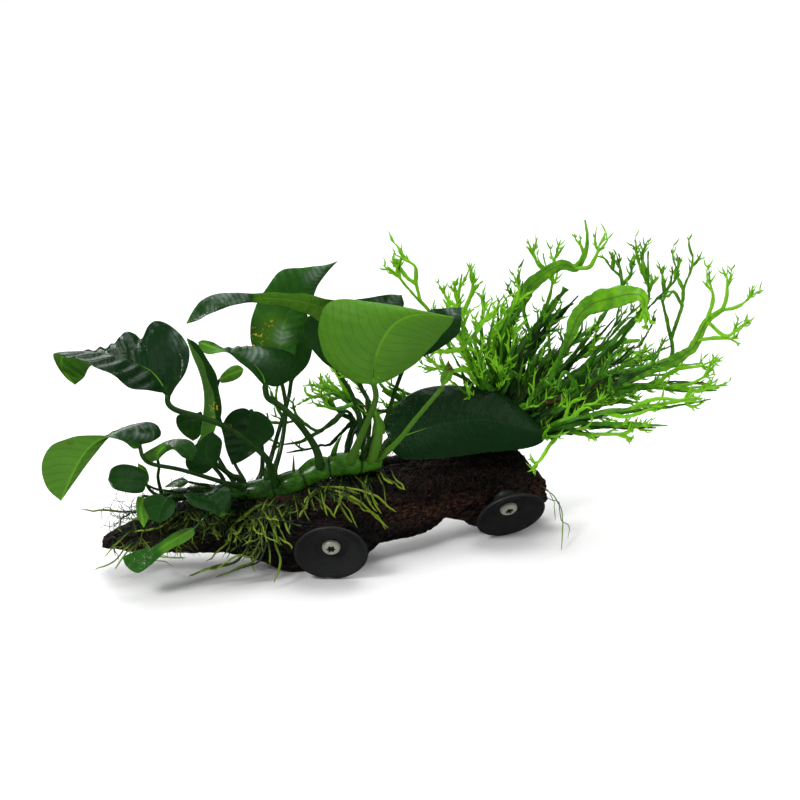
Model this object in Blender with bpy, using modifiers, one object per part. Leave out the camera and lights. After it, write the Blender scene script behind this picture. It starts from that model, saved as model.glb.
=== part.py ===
"""Driftwood log planted with a broad-leaved anubias and a lace java fern, on two suction cups.

The log lies along +X and runs back (+Y) to its right; +Z is up and the log's sole is at Z = 0.
Places on the plants are written as a Spot: column and row of the 800 x 800 reference picture
and the depth behind the object's front-to-back origin in millimetres. The function `place`
turns a Spot into metres with the picture's own viewpoint. Sizes are real sizes in millimetres.
"""

import math

import bpy
import numpy as np
from mathutils import Matrix, Vector

MM = 0.001
GAP = 0.4                      # clearance left between neighbouring pieces, mm

# Viewpoint of the reference picture.
VIEW_ELEVATION = 20.0          # degrees above the horizon, looking along +Y
VIEW_DISTANCE = 1300.0         # mm from the aim point
PIXEL = 0.54                   # mm per picture pixel at the aim point
AIM_HEIGHT = 93.2              # mm, the aim point is over the origin at this height
PICTURE_MIDDLE = 400.0         # column and row of the aim point
ORIGIN_X, ORIGIN_Y = 1.70, 27.85  # mm, moves the object's box centre onto the origin

# Suction cups: diameter, hollow and neck, mm.
CUP_RADIUS = 20.0
CUP_LIP = 2.0
CUP_HEIGHT = 13.0
CUP_HOLLOW = 6.2
CUP_NECK_RADIUS = 6.5
CUP_BORE_RADIUS = 2.6
CUP_SEAT_RADIUS = 11.0         # flat place cut in the bark for each neck
CUP_STEPS = 16                 # flats round a cup
CUPS = {
    "left": {"centre": (-37.0, -36.0, 18.5), "axis": (0.0, -0.9205, -0.3907)},
    "right": {"centre": (62.1, 21.1, 16.6), "axis": (0.2617, -0.7843, -0.5624)},
}

# Cup screws, mm.
SCREW_HEAD_RADIUS = 5.0
SCREW_HEAD_HEIGHT = 2.8
SCREW_SHANK_RADIUS = 2.0
SCREW_REACH = 22.0             # length of the shank below the head
RECESS_RADII = (2.7, 1.8)
RECESS_DEPTH = 1.6
RECESS_LOBES = 6
SCREW_STEPS = 10               # flats round a screw

# Driftwood sections along its length: centre x, y, z, half depth and half height, mm.
WOOD_SECTIONS = (
    (-162, -14.0, 16.0, 4.5, 2.4),
    (-160, -13.8, 16.6, 8.0, 3.4),
    (-154, -13.4, 18.3, 11.0, 4.6),
    (-146, -13.0, 19.6, 13.0, 8.0),
    (-133, -12.0, 20.9, 14.5, 10.6),
    (-120, -11.0, 22.0, 16.0, 12.0),
    (-103, -10.0, 22.1, 17.0, 13.1),
    (-87, -9.5, 21.9, 18.0, 14.3),
    (-73, -9.0, 20.8, 19.0, 17.7),
    (-60, -8.0, 20.0, 20.0, 22.1),
    (-44, -6.0, 21.8, 20.5, 24.5),
    (-27, -1.0, 23.6, 20.0, 25.9),
    (-11, 8.0, 27.9, 18.5, 20.4),
    (6, 18.0, 27.4, 18.0, 20.6),
    (18, 27.0, 26.7, 17.5, 19.5),
    (25, 31.0, 29.3, 17.0, 16.4),
    (31, 35.0, 28.6, 16.5, 16.9),
    (39, 39.5, 26.2, 17.0, 18.8),
    (51, 45.0, 22.5, 16.0, 23.0),
    (62, 50.5, 20.2, 15.5, 23.0),
    (69, 53.0, 19.9, 15.5, 22.1),
    (73, 54.0, 18.6, 15.5, 17.6),
    (79, 56.0, 17.6, 13.5, 14.2),
    (84, 58.5, 16.0, 9.0, 8.8),
    (86, 59.5, 15.6, 5.0, 5.2),
)
WOOD_SIDES = 16
WOOD_SQUARENESS = 2.5          # exponent of the rounded-square section
# Long grain ridges round the section: waves round, turns along the log, start angle, height.
WOOD_RIDGES = ((3, 1.1, 0.4, 0.050), (5, -2.3, 1.9, 0.035), (8, 3.1, 4.0, 0.025))

# The anubias rhizome: column, row, radius in mm. It creeps along the crest of the log.
RHIZOME_ROUTE = (
    (158, 500, 2.6), (182, 494, 3.0), (205, 491, 3.2), (226, 491, 3.6), (244, 491, 4.2),
    (262, 489, 4.7), (278, 486, 4.9), (292, 482, 5.0), (306, 475, 5.0), (320, 468, 5.2),
    (336, 465, 5.0), (352, 464, 4.9), (368, 461, 4.7), (382, 459, 3.6),
)
RHIZOME_LIFT = 0.9             # mm between the rhizome and the wood
# The fern rhizome: x in mm, angle round the log's section in degrees, radius in mm.
FERN_RHIZOME_ROUTE = (
    (-34, 52, 1.8), (-20, 54, 2.4), (-4, 56, 2.5), (14, 58, 2.5), (32, 62, 2.8), (46, 70, 3.2), (58, 78, 3.3),
    (68, 84, 2.2),
)
RHIZOME_KNOBS, RHIZOME_SIDES = 11, 7
FERN_RHIZOME_KNOBS, FERN_RHIZOME_SIDES = 8, 5

# Finishes: colour and roughness.
FOLIAGE = {
    "anubias": (0.010, 0.060, 0.014, 1.0),
    "fern": (0.060, 0.250, 0.012, 1.0),
    "root": (0.160, 0.200, 0.030, 1.0),
}
FOLIAGE_ROUGHNESS = 0.35
WOOD_COLOUR, WOOD_ROUGHNESS = (0.018, 0.010, 0.007, 1.0), 0.6
RUBBER_COLOUR, RUBBER_ROUGHNESS = (0.022, 0.024, 0.026, 1.0), 0.55
STEEL_COLOUR, STEEL_ROUGHNESS = (0.55, 0.55, 0.52, 1.0), 0.3


# ---------------------------------------------------------------- places and routes

def place(column, row, depth):
    """Point in mm seen at a picture column and row, at a given depth behind the origin."""
    elevation = math.radians(VIEW_ELEVATION)
    forward = np.array([0.0, math.cos(elevation), -math.sin(elevation)])
    up = np.array([0.0, math.sin(elevation), math.cos(elevation)])
    eye = np.array([0.0, 0.0, AIM_HEIGHT]) - forward * VIEW_DISTANCE
    per_pixel = PIXEL / VIEW_DISTANCE
    ray = forward + up * (PICTURE_MIDDLE - row) * per_pixel
    ray[0] += (column - PICTURE_MIDDLE) * per_pixel
    return eye + ray * (depth - eye[1]) / ray[1]


def places(spots):
    """Array of points in mm for a route of picture spots."""
    return np.array([place(*spot) for spot in spots])


def along(points, fractions):
    """Points at fractions of the length of a smooth curve through the given points."""
    points = np.asarray(points, float)
    steps = np.linspace(0.0, 1.0, 9)[1:, None]
    before = np.vstack([2 * points[0] - points[1], points[:-1]])
    after = np.vstack([points[1:], 2 * points[-1] - points[-2]])
    fine = [points[:1]]
    for k in range(len(points) - 1):
        p, q = points[k], points[k + 1]
        pull_p = (q - before[k]) / 2
        pull_q = (after[k + 1] - p) / 2
        s2, s3 = steps ** 2, steps ** 3
        fine.append((2 * s3 - 3 * s2 + 1) * p + (s3 - 2 * s2 + steps) * pull_p
                    + (3 * s2 - 2 * s3) * q + (s3 - s2) * pull_q)
    fine = np.vstack(fine)
    run = np.concatenate([[0.0], np.cumsum(np.linalg.norm(np.diff(fine, axis=0), axis=1))])
    wanted = np.asarray(fractions, float) * run[-1]
    return np.column_stack([np.interp(wanted, run, fine[:, axis]) for axis in range(fine.shape[1])])


def unit(vectors):
    """Vectors scaled to length 1."""
    length = np.linalg.norm(vectors, axis=-1, keepdims=True)
    return vectors / np.maximum(length, 1e-9)


def directions(points):
    """Direction of travel at each point of a route."""
    return unit(np.gradient(points, axis=0))


# ---------------------------------------------------------------- meshes

def material(name, colour, roughness, metallic=0.0):
    """A Principled material."""
    made = bpy.data.materials.new(name)
    made.use_nodes = True
    shader = made.node_tree.nodes["Principled BSDF"]
    shader.inputs["Base Color"].default_value = colour
    shader.inputs["Roughness"].default_value = roughness
    shader.inputs["Metallic"].default_value = metallic
    return made


def shift(points):
    """Millimetres in the picture's frame to metres in the object's frame."""
    return (np.asarray(points, float) - np.array([ORIGIN_X, ORIGIN_Y, 0.0])) * MM


def add_object(name, vertices, faces, finish, collection):
    """A named mesh object from vertices in mm."""
    mesh = bpy.data.meshes.new(name)
    mesh.from_pydata(shift(vertices).tolist(), [], faces)
    mesh.validate()
    made = bpy.data.objects.new(name, mesh)
    collection.objects.link(made)
    if finish is not None:
        mesh.materials.append(finish)
    mesh.shade_smooth()
    mesh.set_sharp_from_angle(angle=math.radians(50))
    return made


def loft(rings, first_vertex=0):
    """Vertices and faces of a closed skin over equal rings, closed by one face at each end.

    Each ring's first half and second half are split along matching diagonals, so that the two
    sides of a thin twisted blade stay clear of each other.
    """
    count, sides = rings.shape[0], rings.shape[1]
    middles = rings.mean(axis=1)
    spokes = rings - middles[:, None]
    turn = np.cross(spokes, np.roll(spokes, -1, axis=1)).sum(axis=1)
    if float(np.sum(turn[:-1] * np.diff(middles, axis=0))) < 0:
        rings = np.roll(rings[:, ::-1], 1, axis=1)
    index = first_vertex + np.arange(count * sides).reshape(count, sides)
    faces = []
    for k in range(count - 1):
        for s in range(sides):
            n = (s + 1) % sides
            a, b, c, d = index[k, s], index[k, n], index[k + 1, n], index[k + 1, s]
            if s < sides // 2:
                faces += [(a, b, c), (a, c, d)]
            else:
                faces += [(a, b, d), (b, c, d)]
    faces.append(tuple(index[0, ::-1]))
    faces.append(tuple(index[-1]))
    return rings.reshape(-1, 3), [tuple(int(i) for i in face) for face in faces]


def tube_rings(points, radii, sides):
    """Rings of a round tube that follows a route."""
    ahead = directions(points)
    reference = np.array([0.0, -1.0, 0.35])
    side = unit(np.cross(ahead, reference))
    up = unit(np.cross(side, ahead))
    angle = np.linspace(0, 2 * math.pi, sides, endpoint=False)
    radii = np.asarray(radii, float)[:, None, None]
    return points[:, None] + radii * (np.cos(angle)[None, :, None] * side[:, None]
                                      + np.sin(angle)[None, :, None] * up[:, None])


# ---------------------------------------------------------------- driftwood

def wood_section(x):
    """Centre y and z, half depth and half height of the log at x, all in mm."""
    table = np.array(WOOD_SECTIONS)
    return [np.interp(x, table[:, 0], table[:, k]) for k in range(1, 5)]


def wood_ring(x, angles):
    """Section of the log at x: a rounded square with long ridges, flat where it meets the ground."""
    y, z, depth, height = wood_section(x)
    swell = np.ones_like(angles)
    for waves, turns, start, rise in WOOD_RIDGES:
        swell += rise * np.sin(waves * angles + turns * x * 0.02 + start)
    power = 2.0 / WOOD_SQUARENESS
    cos, sin = np.cos(angles), np.sin(angles)
    ring_y = y + depth * swell * np.sign(cos) * np.abs(cos) ** power
    ring_z = z + height * swell * np.sign(sin) * np.abs(sin) ** power
    return np.column_stack([np.full_like(angles, x), ring_y, np.maximum(ring_z, 0.0)])


def wood_distance(point):
    """Roughly how far a point in mm stands off the bark, measured in the log's section."""
    y, z, depth, height = wood_section(point[0])
    dy, dz = point[1] - y, point[2] - z
    angle = math.atan2(dz / height, dy / depth)
    ring = wood_ring(point[0], np.array([angle]))[0]
    return math.hypot(dy, dz) - math.hypot(ring[1] - y, ring[2] - z)


def on_wood(column, row, lift):
    """Place at a picture spot that stands the given height off the front of the bark, in mm."""
    near, far = -90.0, wood_section(place(column, row, 0.0)[0])[0]
    if wood_distance(place(column, row, far)) > lift:
        return place(column, row, far)
    for _ in range(40):
        middle = (near + far) / 2
        if wood_distance(place(column, row, middle)) > lift:
            near = middle
        else:
            far = middle
    return place(column, row, near)


def frame_at(point, axis):
    """Matrix in metres whose +Z is the given axis at a point in mm."""
    turn = Vector(axis).to_track_quat("Z", "Y").to_matrix().to_4x4()
    return Matrix.Translation(Vector(shift(point))) @ turn


def build_driftwood(parts, cutters):
    """The log: a loft of ridged sections, with a seat and a pilot hole for each suction cup."""
    angles = np.linspace(0, 2 * math.pi, WOOD_SIDES, endpoint=False)
    rings = np.array([wood_ring(section[0], angles) for section in WOOD_SECTIONS])
    vertices, faces = loft(rings[:, ::-1])
    finish = material("driftwood", WOOD_COLOUR, WOOD_ROUGHNESS)
    wood = add_object("driftwood", vertices, faces, finish, parts)
    for side, cup in CUPS.items():
        axis = np.array(cup["axis"])
        neck_end = np.array(cup["centre"]) - axis * (CUP_HEIGHT + GAP)
        screw_end = np.array(cup["centre"]) - axis * (CUP_HOLLOW + SCREW_REACH + GAP)
        cuts = (
            ("seat", neck_end, neck_end + axis * 20, CUP_SEAT_RADIUS),
            ("hole", screw_end, neck_end + axis * 5, SCREW_SHANK_RADIUS + GAP),
        )
        for kind, start, end, radius in cuts:
            cutter = turned(f"cutter_{kind}_{side}", ((0, 0), (radius, 0)),
                            float(np.linalg.norm(end - start)), CUP_STEPS, None, cutters)
            cutter.matrix_world = frame_at(start, axis)
            cutter.hide_render = True
            cutter.display_type = "WIRE"
            cut = wood.modifiers.new(f"{kind}_{side}", "BOOLEAN")
            cut.object = cutter
            cut.operation = "DIFFERENCE"
            cut.solver = "EXACT"
    return wood


# ---------------------------------------------------------------- suction cups and screws

def turned(name, profile, height, steps, finish, collection):
    """A turned solid about +Z. A two-point profile is a plain cylinder of the given height."""
    if len(profile) == 2:
        radius = profile[1][0]
        profile = ((0, height), (radius, height), (radius, 0), (0, 0))
    mesh = bpy.data.meshes.new(name)
    vertices = [(r * MM, 0.0, z * MM) for r, z in profile]
    closed = profile[0][0] > 0
    edges = [(k, k + 1) for k in range(len(vertices) - 1)]
    if closed:
        edges.append((len(vertices) - 1, 0))
    mesh.from_pydata(vertices, edges, [])
    made = bpy.data.objects.new(name, mesh)
    collection.objects.link(made)
    screw = made.modifiers.new("turn", "SCREW")
    screw.axis = "Z"
    screw.steps = steps
    screw.render_steps = steps
    screw.use_merge_vertices = True
    screw.merge_threshold = 0.00001
    screw.use_smooth_shade = True
    if finish is not None:
        mesh.materials.append(finish)
    return made


def build_cup(side, parts):
    """A rubber suction cup, its flat lip in the plane through its centre and its neck on the wood."""
    lip = CUP_RADIUS - CUP_LIP
    profile = (
        (lip, 0.0), (CUP_RADIUS, 0.0), (CUP_RADIUS - 0.2, -1.3), (14.0, -5.8), (8.6, -9.0),
        (CUP_NECK_RADIUS, -10.2), (CUP_NECK_RADIUS, -CUP_HEIGHT),
        (CUP_BORE_RADIUS, -CUP_HEIGHT), (CUP_BORE_RADIUS, -CUP_HOLLOW), (8.0, -CUP_HOLLOW + 0.2),
        (14.0, -3.4),
    )
    rubber = material(f"rubber_{side}", RUBBER_COLOUR, RUBBER_ROUGHNESS)
    cup = turned(f"suction_cup_{side}", profile, 0.0, CUP_STEPS, rubber, parts)
    cup.matrix_world = frame_at(CUPS[side]["centre"], CUPS[side]["axis"])
    return cup


def build_screw(side, parts, cutters):
    """A pan-head screw with a six-lobed recess, through the cup and into the log."""
    floor = -CUP_HOLLOW + GAP
    profile = (
        (0.0, floor + SCREW_HEAD_HEIGHT), (3.2, floor + SCREW_HEAD_HEIGHT),
        (SCREW_HEAD_RADIUS - 0.2, floor + SCREW_HEAD_HEIGHT - 1.1), (SCREW_HEAD_RADIUS, floor),
        (SCREW_SHANK_RADIUS, floor),
        (SCREW_SHANK_RADIUS, floor - SCREW_REACH + 4.0), (0.0, floor - SCREW_REACH),
    )
    steel = material(f"steel_{side}", STEEL_COLOUR, STEEL_ROUGHNESS, 1.0)
    screw = turned(f"cup_screw_{side}", profile, 0.0, SCREW_STEPS, steel, parts)
    seat = frame_at(CUPS[side]["centre"], CUPS[side]["axis"])
    screw.matrix_world = seat
    points = 2 * RECESS_LOBES
    angle = np.linspace(0, 2 * math.pi, points, endpoint=False)
    middle = sum(RECESS_RADII) / 2
    swing = (RECESS_RADII[0] - RECESS_RADII[1]) / 2
    radius = middle + swing * np.cos(RECESS_LOBES * angle)
    top, bottom = floor + SCREW_HEAD_HEIGHT + 1.0, floor + SCREW_HEAD_HEIGHT - RECESS_DEPTH
    rings = np.array([np.column_stack([radius * np.cos(angle), radius * np.sin(angle),
                                       np.full(points, height)]) for height in (bottom, top)])
    vertices, faces = loft(rings)
    mesh = bpy.data.meshes.new(f"cutter_recess_{side}")
    mesh.from_pydata((vertices * MM).tolist(), [], faces)
    cutter = bpy.data.objects.new(f"cutter_recess_{side}", mesh)
    cutters.objects.link(cutter)
    cutter.matrix_world = seat
    cutter.hide_render = True
    cutter.display_type = "WIRE"
    cut = screw.modifiers.new("recess", "BOOLEAN")
    cut.object = cutter
    cut.operation = "DIFFERENCE"
    cut.solver = "EXACT"
    return screw


# ---------------------------------------------------------------- rhizomes

def anubias_rhizome_route():
    """Points and radii in mm of the anubias rhizome, on the bark along picture columns and rows."""
    return np.array([(*on_wood(column, row, radius + RHIZOME_LIFT), radius)
                     for column, row, radius in RHIZOME_ROUTE])


def fern_rhizome_route():
    """Points and radii in mm of the fern rhizome, along the back of the log's crest."""
    table = []
    for x, degrees, radius in FERN_RHIZOME_ROUTE:
        y, z, _, _ = wood_section(x)
        bark = wood_ring(x, np.array([math.radians(degrees)]))[0]
        outward = unit(bark - (x, y, z))
        table.append((*(bark + outward * (radius + RHIZOME_LIFT)), radius))
    return np.array(table)


def build_rhizome(name, table, knobs, sides, finish, parts):
    """One rhizome: a knobby tube whose radius swells and narrows once for every knob."""
    table = along(table, np.linspace(0, 1, 2 * knobs + 1))
    swell = np.where(np.arange(len(table)) % 2, 1.0, 0.86)
    swell[[0, -1]] = 0.55
    vertices, faces = loft(tube_rings(table[:, :3], table[:, 3] * swell, sides))
    return add_object(name, vertices, faces, finish, parts)


def rooted(line, rhizome):
    """A route in mm whose first point is moved onto the nearest place of a rhizome's skin."""
    fine = along(rhizome, np.linspace(0, 1, 80))
    nearest = fine[np.argmin(np.linalg.norm(fine[:, :3] - line[0], axis=1))]
    outward = unit(line[0] - nearest[:3])
    base = nearest[:3] + outward * (nearest[3] + STALK_CLEARANCE)
    return np.vstack([base, base + outward * STALK_RISE, line[1:]])


# ---------------------------------------------------------------- anubias leaves

# Each leaf is a stalk route up from the rhizome, a midrib route from the blade's base to its
# tip, and the blade's left and right margins between them (as seen in the picture), all Spots.
LEAVES = {
    "leaf_big_left": {
        "stalk": ((274, 478, -17), (266, 458, -24), (243, 438, -32), (224, 426, -37), (200, 417, -40),
                  (176, 410, -42), (168, 403, -42)),
        "rib": ((168, 394, -40), (150, 371, -42), (118, 358, -46), (90, 352, -44), (66, 354, -41), (61, 367, -37),
                (75, 385, -34)),
        "left": ((151, 391, -50), (134, 389, -56), (124, 384, -58), (110, 374, -60), (94, 366, -60), (72, 358, -55),
                 (54, 354, -46), (57, 366, -40), (66, 378, -36)),
        "right": ((184, 379, -36), (193, 363, -32), (184, 338, -25), (170, 325, -22), (156, 321, -22), (148, 326, -24),
                  (142, 338, -26), (135, 334, -25), (124, 333, -26), (114, 345, -27), (107, 350, -27),
                  (98, 359, -27), (90, 368, -28), (82, 379, -31)),
        "stalk_radius": 1.5, "arch": 0.02, "skew": (1.0, 0.5),
    },
    "leaf_far_left": {
        "stalk": ((240, 485, -19), (222, 482, -26), (182, 470, -36), (152, 464, -45), (143, 457, -49)),
        "rib": ((140, 447, -48), (130, 441, -53), (112, 437, -58), (94, 444, -58), (78, 464, -55),
                (61, 501, -48)),
        "left": ((134, 449, -54), (124, 442, -60), (111, 438, -62), (94, 435, -61), (70, 438, -57), (52, 445, -53),
                 (42, 463, -50), (46, 487, -47)),
        "right": ((160, 437, -40), (160, 428, -37), (152, 423, -36), (138, 424, -40), (122, 430, -47), (112, 436, -53),
                  (104, 443, -54), (95, 454, -54), (86, 466, -53), (78, 477, -51)),
        "stalk_radius": 1.1, "arch": 0.05,
    },
    "leaf_small_folded": {
        "stalk": ((160, 491, -21), (158, 478, -36), (159, 468, -40)),
        "rib": ((158, 461, -41), (159, 452, -42), (170, 445, -44), (184, 449, -44), (192, 461, -44)),
        "left": ((147, 462, -38), (142, 455, -37), (155, 447, -38), (174, 439, -38), (190, 440, -40),
                 (197, 450, -42)),
        "right": ((162, 456, -44), (168, 451, -47), (174, 450, -49), (182, 457, -48)),
        "stalk_radius": 0.8, "arch": 0.05,
    },
    "leaf_round_small": {
        "stalk": ((164, 491, -22), (158, 495, -34), (151, 491, -46)),
        "rib": ((146, 484, -51), (128, 480, -57), (108, 480, -60)),
        "left": ((143, 492, -55), (129, 493, -61), (114, 489, -63)),
        "right": ((147, 474, -48), (136, 466, -50), (122, 464, -53), (111, 469, -57)),
        "stalk_radius": 0.8, "arch": 0.08,
    },
    "leaf_pale_sliver": {
        "stalk": ((176, 490, -21), (168, 491, -27), (156, 489, -33)),
        "rib": ((147, 485, -39), (144, 474, -41), (138, 463, -42)),
        "left": ((142, 480, -41), (138, 470, -42)),
        "right": ((149, 478, -37), (146, 468, -39)),
        "stalk_radius": 0.6, "arch": 0.05,
    },
    "leaf_round_low": {
        "stalk": ((190, 498, -27), (181, 496, -40), (173, 496, -50)),
        "rib": ((168, 498, -53), (161, 509, -57), (158, 523, -59)),
        "left": ((158, 494, -55), (146, 497, -58), (143, 504, -60), (150, 518, -60)),
        "right": ((175, 501, -50), (174, 512, -53), (166, 520, -57)),
        "stalk_radius": 0.8, "arch": 0.08,
    },
    "leaf_pale_point": {
        "stalk": ((154, 500, -23), (149, 497, -36)),
        "rib": ((143, 496, -45), (141, 510, -48), (144, 528, -50)),
        "left": ((137, 498, -46), (136, 509, -48), (139, 520, -49)),
        "right": ((147, 502, -46), (149, 516, -49)),
        "stalk_radius": 0.6, "arch": 0.05,
    },
    "leaf_cupped": {
        "stalk": ((246, 496, -22), (238, 495, -30)),
        "rib": ((231, 494, -33), (212, 501, -40), (184, 495, -47)),
        "left": ((231, 506, -36), (222, 517, -44), (208, 511, -49), (192, 505, -51)),
        "right": ((230, 488, -29), (217, 486, -28), (204, 493, -31), (193, 494, -38)),
        "stalk_radius": 0.8, "arch": 0.14,
    },
    "leaf_edge_on": {
        "stalk": ((208, 486, -14), (198, 484, -20)),
        "rib": ((189, 482, -25), (178, 483, -30), (165, 487, -34)),
        "left": ((182, 487, -33), (174, 487, -36)),
        "right": ((183, 479, -19), (174, 480, -23)),
        "stalk_radius": 0.6, "arch": 0.05,
    },
    "leaf_hanging_low": {
        "stalk": ((214, 499, -26), (208, 512, -38), (199, 524, -43)),
        "rib": ((195, 528, -44), (181, 536, -47), (166, 545, -50), (152, 555, -53), (137, 560, -55), (122, 557, -56)),
        "left": ((190, 528, -43), (178, 531, -44), (166, 538, -46), (153, 547, -49), (138, 550, -52)),
        "right": ((194, 535, -47), (184, 543, -50), (173, 548, -53), (162, 555, -56), (150, 566, -58),
                  (138, 573, -60), (127, 567, -58)),
        "stalk_radius": 0.8, "arch": 0.06,
    },
    "leaf_tall_crescent": {
        "stalk": ((240, 484, -9), (232, 476, -11), (214, 462, -14), (204, 451, -15)),
        "rib": ((199, 443, -16), (202, 421, -14), (204, 402, -12), (203, 387, -11), (199, 371, -11),
                (193, 356, -12), (187, 338, -14)),
        "left": ((209, 440, -22), (216, 422, -22), (214, 400, -20), (209, 380, -18), (202, 361, -17)),
        "right": ((218, 425, -7), (221, 404, -4), (219, 386, -3), (214, 371, -4), (205, 354, -6),
                  (196, 343, -10)),
        "stalk_radius": 1.1, "arch": 0.05,
    },
    "leaf_centre_left": {
        "stalk": ((320, 462, -14), (315, 447, -15), (300, 425, -18), (282, 407, -19), (268, 398, -19)),
        "rib": ((265, 387, -19), (260, 372, -20), (244, 358, -21), (222, 351, -22), (198, 342, -24)),
        "left": ((259, 380, -24), (252, 373, -26), (240, 362, -28), (227, 353, -28), (208, 354, -27),
                 (200, 348, -25)),
        "right": ((282, 385, -10), (297, 373, -5), (295, 357, -2), (278, 349, -2), (253, 346, -6),
                  (228, 350, -14), (213, 342, -18), (203, 340, -22)),
        "stalk_radius": 1.6, "arch": 0.08,
    },
    "leaf_upright_back": {
        "stalk": ((276, 477, -7), (279, 455, 2), (283, 436, 7), (286, 410, 12), (284, 393, 15)),
        "rib": ((282, 384, 16), (279, 350, 18), (285, 320, 21), (302, 290, 25), (320, 273, 28),
                (338, 261, 30)),
        "left": ((262, 370, 12), (252, 345, 13), (250, 325, 15), (254, 311, 17), (264, 291, 20),
                 (281, 271, 24), (306, 267, 28), (325, 265, 29)),
        "right": ((292, 366, 18), (297, 344, 22), (308, 313, 26), (316, 290, 29), (326, 274, 30)),
        "stalk_radius": 1.1, "arch": 0.06,
    },
    "leaf_back_low": {
        "stalk": ((268, 480, -8), (271, 458, 6), (279, 430, 16), (288, 400, 26)),
        "rib": ((291, 382, 30), (296, 350, 38), (292, 318, 46), (276, 290, 54)),
        "left": ((272, 372, 30), (262, 345, 36), (260, 315, 44)),
        "right": ((309, 362, 34), (312, 335, 40), (302, 305, 48)),
        "stalk_radius": 1.1, "arch": 0.08,
    },
    "leaf_long_left": {
        "stalk": ((362, 458, -1), (368, 436, 3), (369, 404, 5), (360, 384, 7), (352, 345, 8)),
        "rib": ((345, 320, 6), (312, 304, 3), (270, 298, 0), (230, 300, -3), (207, 307, -5),
                (186, 324, -8)),
        "left": ((332, 330, 10), (318, 321, 10), (294, 309, 9), (258, 303, 3), (235, 305, -4),
                 (212, 313, -8), (199, 320, -9)),
        "right": ((338, 303, -1), (325, 298, -3), (294, 293, -6), (254, 293, -5), (222, 293, -1),
                  (203, 299, 0), (194, 309, -3)),
        "stalk_radius": 1.2, "arch": 0.03,
    },
    "leaf_big_pale": {
        "stalk": ((352, 458, -9), (358, 444, -9), (366, 425, -9), (373, 408, -9), (376, 396, -8)),
        "rib": ((374, 385, -7), (374, 369, -11), (378, 350, -15), (389, 330, -17), (404, 318, -15),
                (425, 314, -10), (454, 317, -3)),
        "left": ((357, 383, -6), (338, 371, -6), (325, 358, -7), (319, 341, -8), (318, 326, -9),
                 (324, 307, -10), (341, 299, -10), (373, 302, -10), (405, 307, -9), (434, 313, -5)),
        "right": ((388, 381, -6), (400, 374, -6), (414, 365, -6), (430, 349, -5), (443, 334, -3),
                  (452, 323, -2)),
        "stalk_radius": 1.5, "arch": 0.1,
    },
    "leaf_dark_behind": {
        "stalk": ((356, 456, 9), (361, 425, 13), (352, 395, 17)),
        "rib": ((338, 372, 20), (348, 340, 20), (372, 312, 20), (402, 295, 20)),
        "left": ((321, 360, 17), (304, 335, 16), (309, 316, 16), (340, 303, 17), (384, 295, 19)),
        "right": ((362, 362, 22), (386, 334, 24), (403, 308, 23)),
        "stalk_radius": 1.2, "arch": 0.08,
    },
    "leaf_dark_right": {
        "stalk": ((371, 455, 9), (384, 425, 11), (396, 388, 13)),
        "rib": ((406, 362, 15), (432, 330, 17), (462, 307, 20)),
        "left": ((404, 335, 16), (425, 312, 18), (445, 308, 20)),
        "right": ((430, 354, 14), (452, 340, 15), (460, 330, 17)),
        "stalk_radius": 1.1, "arch": 0.08,
    },
    "leaf_big_right": {
        "stalk": ((380, 455, 6), (384, 449, 6)),
        "rib": ((388, 441, 7), (404, 436, 10), (440, 425, 18), (490, 420, 25), (547, 434, 31)),
        "left": ((384, 428, 12), (390, 415, 19), (402, 400, 25), (421, 389, 30), (449, 385, 34),
                 (480, 389, 37), (506, 396, 38), (530, 416, 36)),
        "right": ((390, 449, 4), (405, 459, 5), (430, 459, 10), (460, 456, 17), (482, 453, 22),
                  (523, 449, 28), (541, 443, 30)),
        "stalk_radius": 1.5, "arch": 0.08,
    },
    "leaf_withered": {
        "stalk": ((386, 454, -4), (398, 441, -4), (414, 421, -4), (430, 402, -4), (442, 388, -4)),
        "rib": ((442, 387, -4), (447, 377, -4), (451, 368, -5), (448, 361, -6)),
        "left": ((440, 379, -4), (444, 368, -5)),
        "right": ((449, 381, -5), (454, 371, -6)),
        "stalk_radius": 1.2, "arch": 0.05,
    },
    "leaf_sheath": {
        "stalk": ((375, 454, -4), (377, 442, -4)),
        "rib": ((378, 434, -4), (378, 420, -4), (374, 407, -4)),
        "left": ((375, 433, -4), (375, 420, -4)),
        "right": ((383, 437, -3), (383, 423, -3)),
        "stalk_radius": 2.6, "arch": 0.3,
    },
    "leaf_dark_upper": {
        "stalk": ((233, 483, -5), (224, 468, -1), (209, 440, 8), (203, 424, 12), (201, 415, 12)),
        "rib": ((200, 413, 6), (193, 424, 1), (193, 441, -3)),
        "left": ((188, 413, 4), (177, 416, 1), (177, 426, -2), (184, 435, -4)),
        "right": ((206, 418, 4), (204, 427, 1), (199, 437, -2)),
        "stalk_radius": 0.9, "arch": 0.06,
    },
    "leaf_dark_lower": {
        "stalk": ((226, 487, -17), (222, 477, -19)),
        "rib": ((214, 467, -21), (206, 455, -23), (207, 441, -24), (212, 431, -24)),
        "left": ((203, 474, -24), (188, 469, -26), (186, 456, -27), (197, 443, -27)),
        "right": ((220, 456, -19), (222, 441, -20)),
        "stalk_radius": 0.9, "arch": 0.06,
    },
    "leaf_round_back": {
        "stalk": ((258, 485, -5), (262, 470, 5), (262, 448, 12), (258, 430, 14), (254, 416, 11)),
        "rib": ((251, 410, 6), (248, 428, 3), (243, 443, 0), (232, 465, -5)),
        "left": ((241, 408, 2), (230, 413, -2), (223, 426, -4), (225, 446, -6)),
        "right": ((262, 413, 4), (271, 422, 4), (274, 434, 4), (263, 446, 1), (250, 456, -3),
                  (240, 462, -4)),
        "stalk_radius": 1.0, "arch": 0.06,
    },
    "leaf_small_pale": {
        "stalk": ((244, 482, -4), (234, 462, 4), (223, 430, 9), (216, 398, 10)),
        "rib": ((219, 380, 10), (230, 374, 10), (244, 369, 11)),
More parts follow.
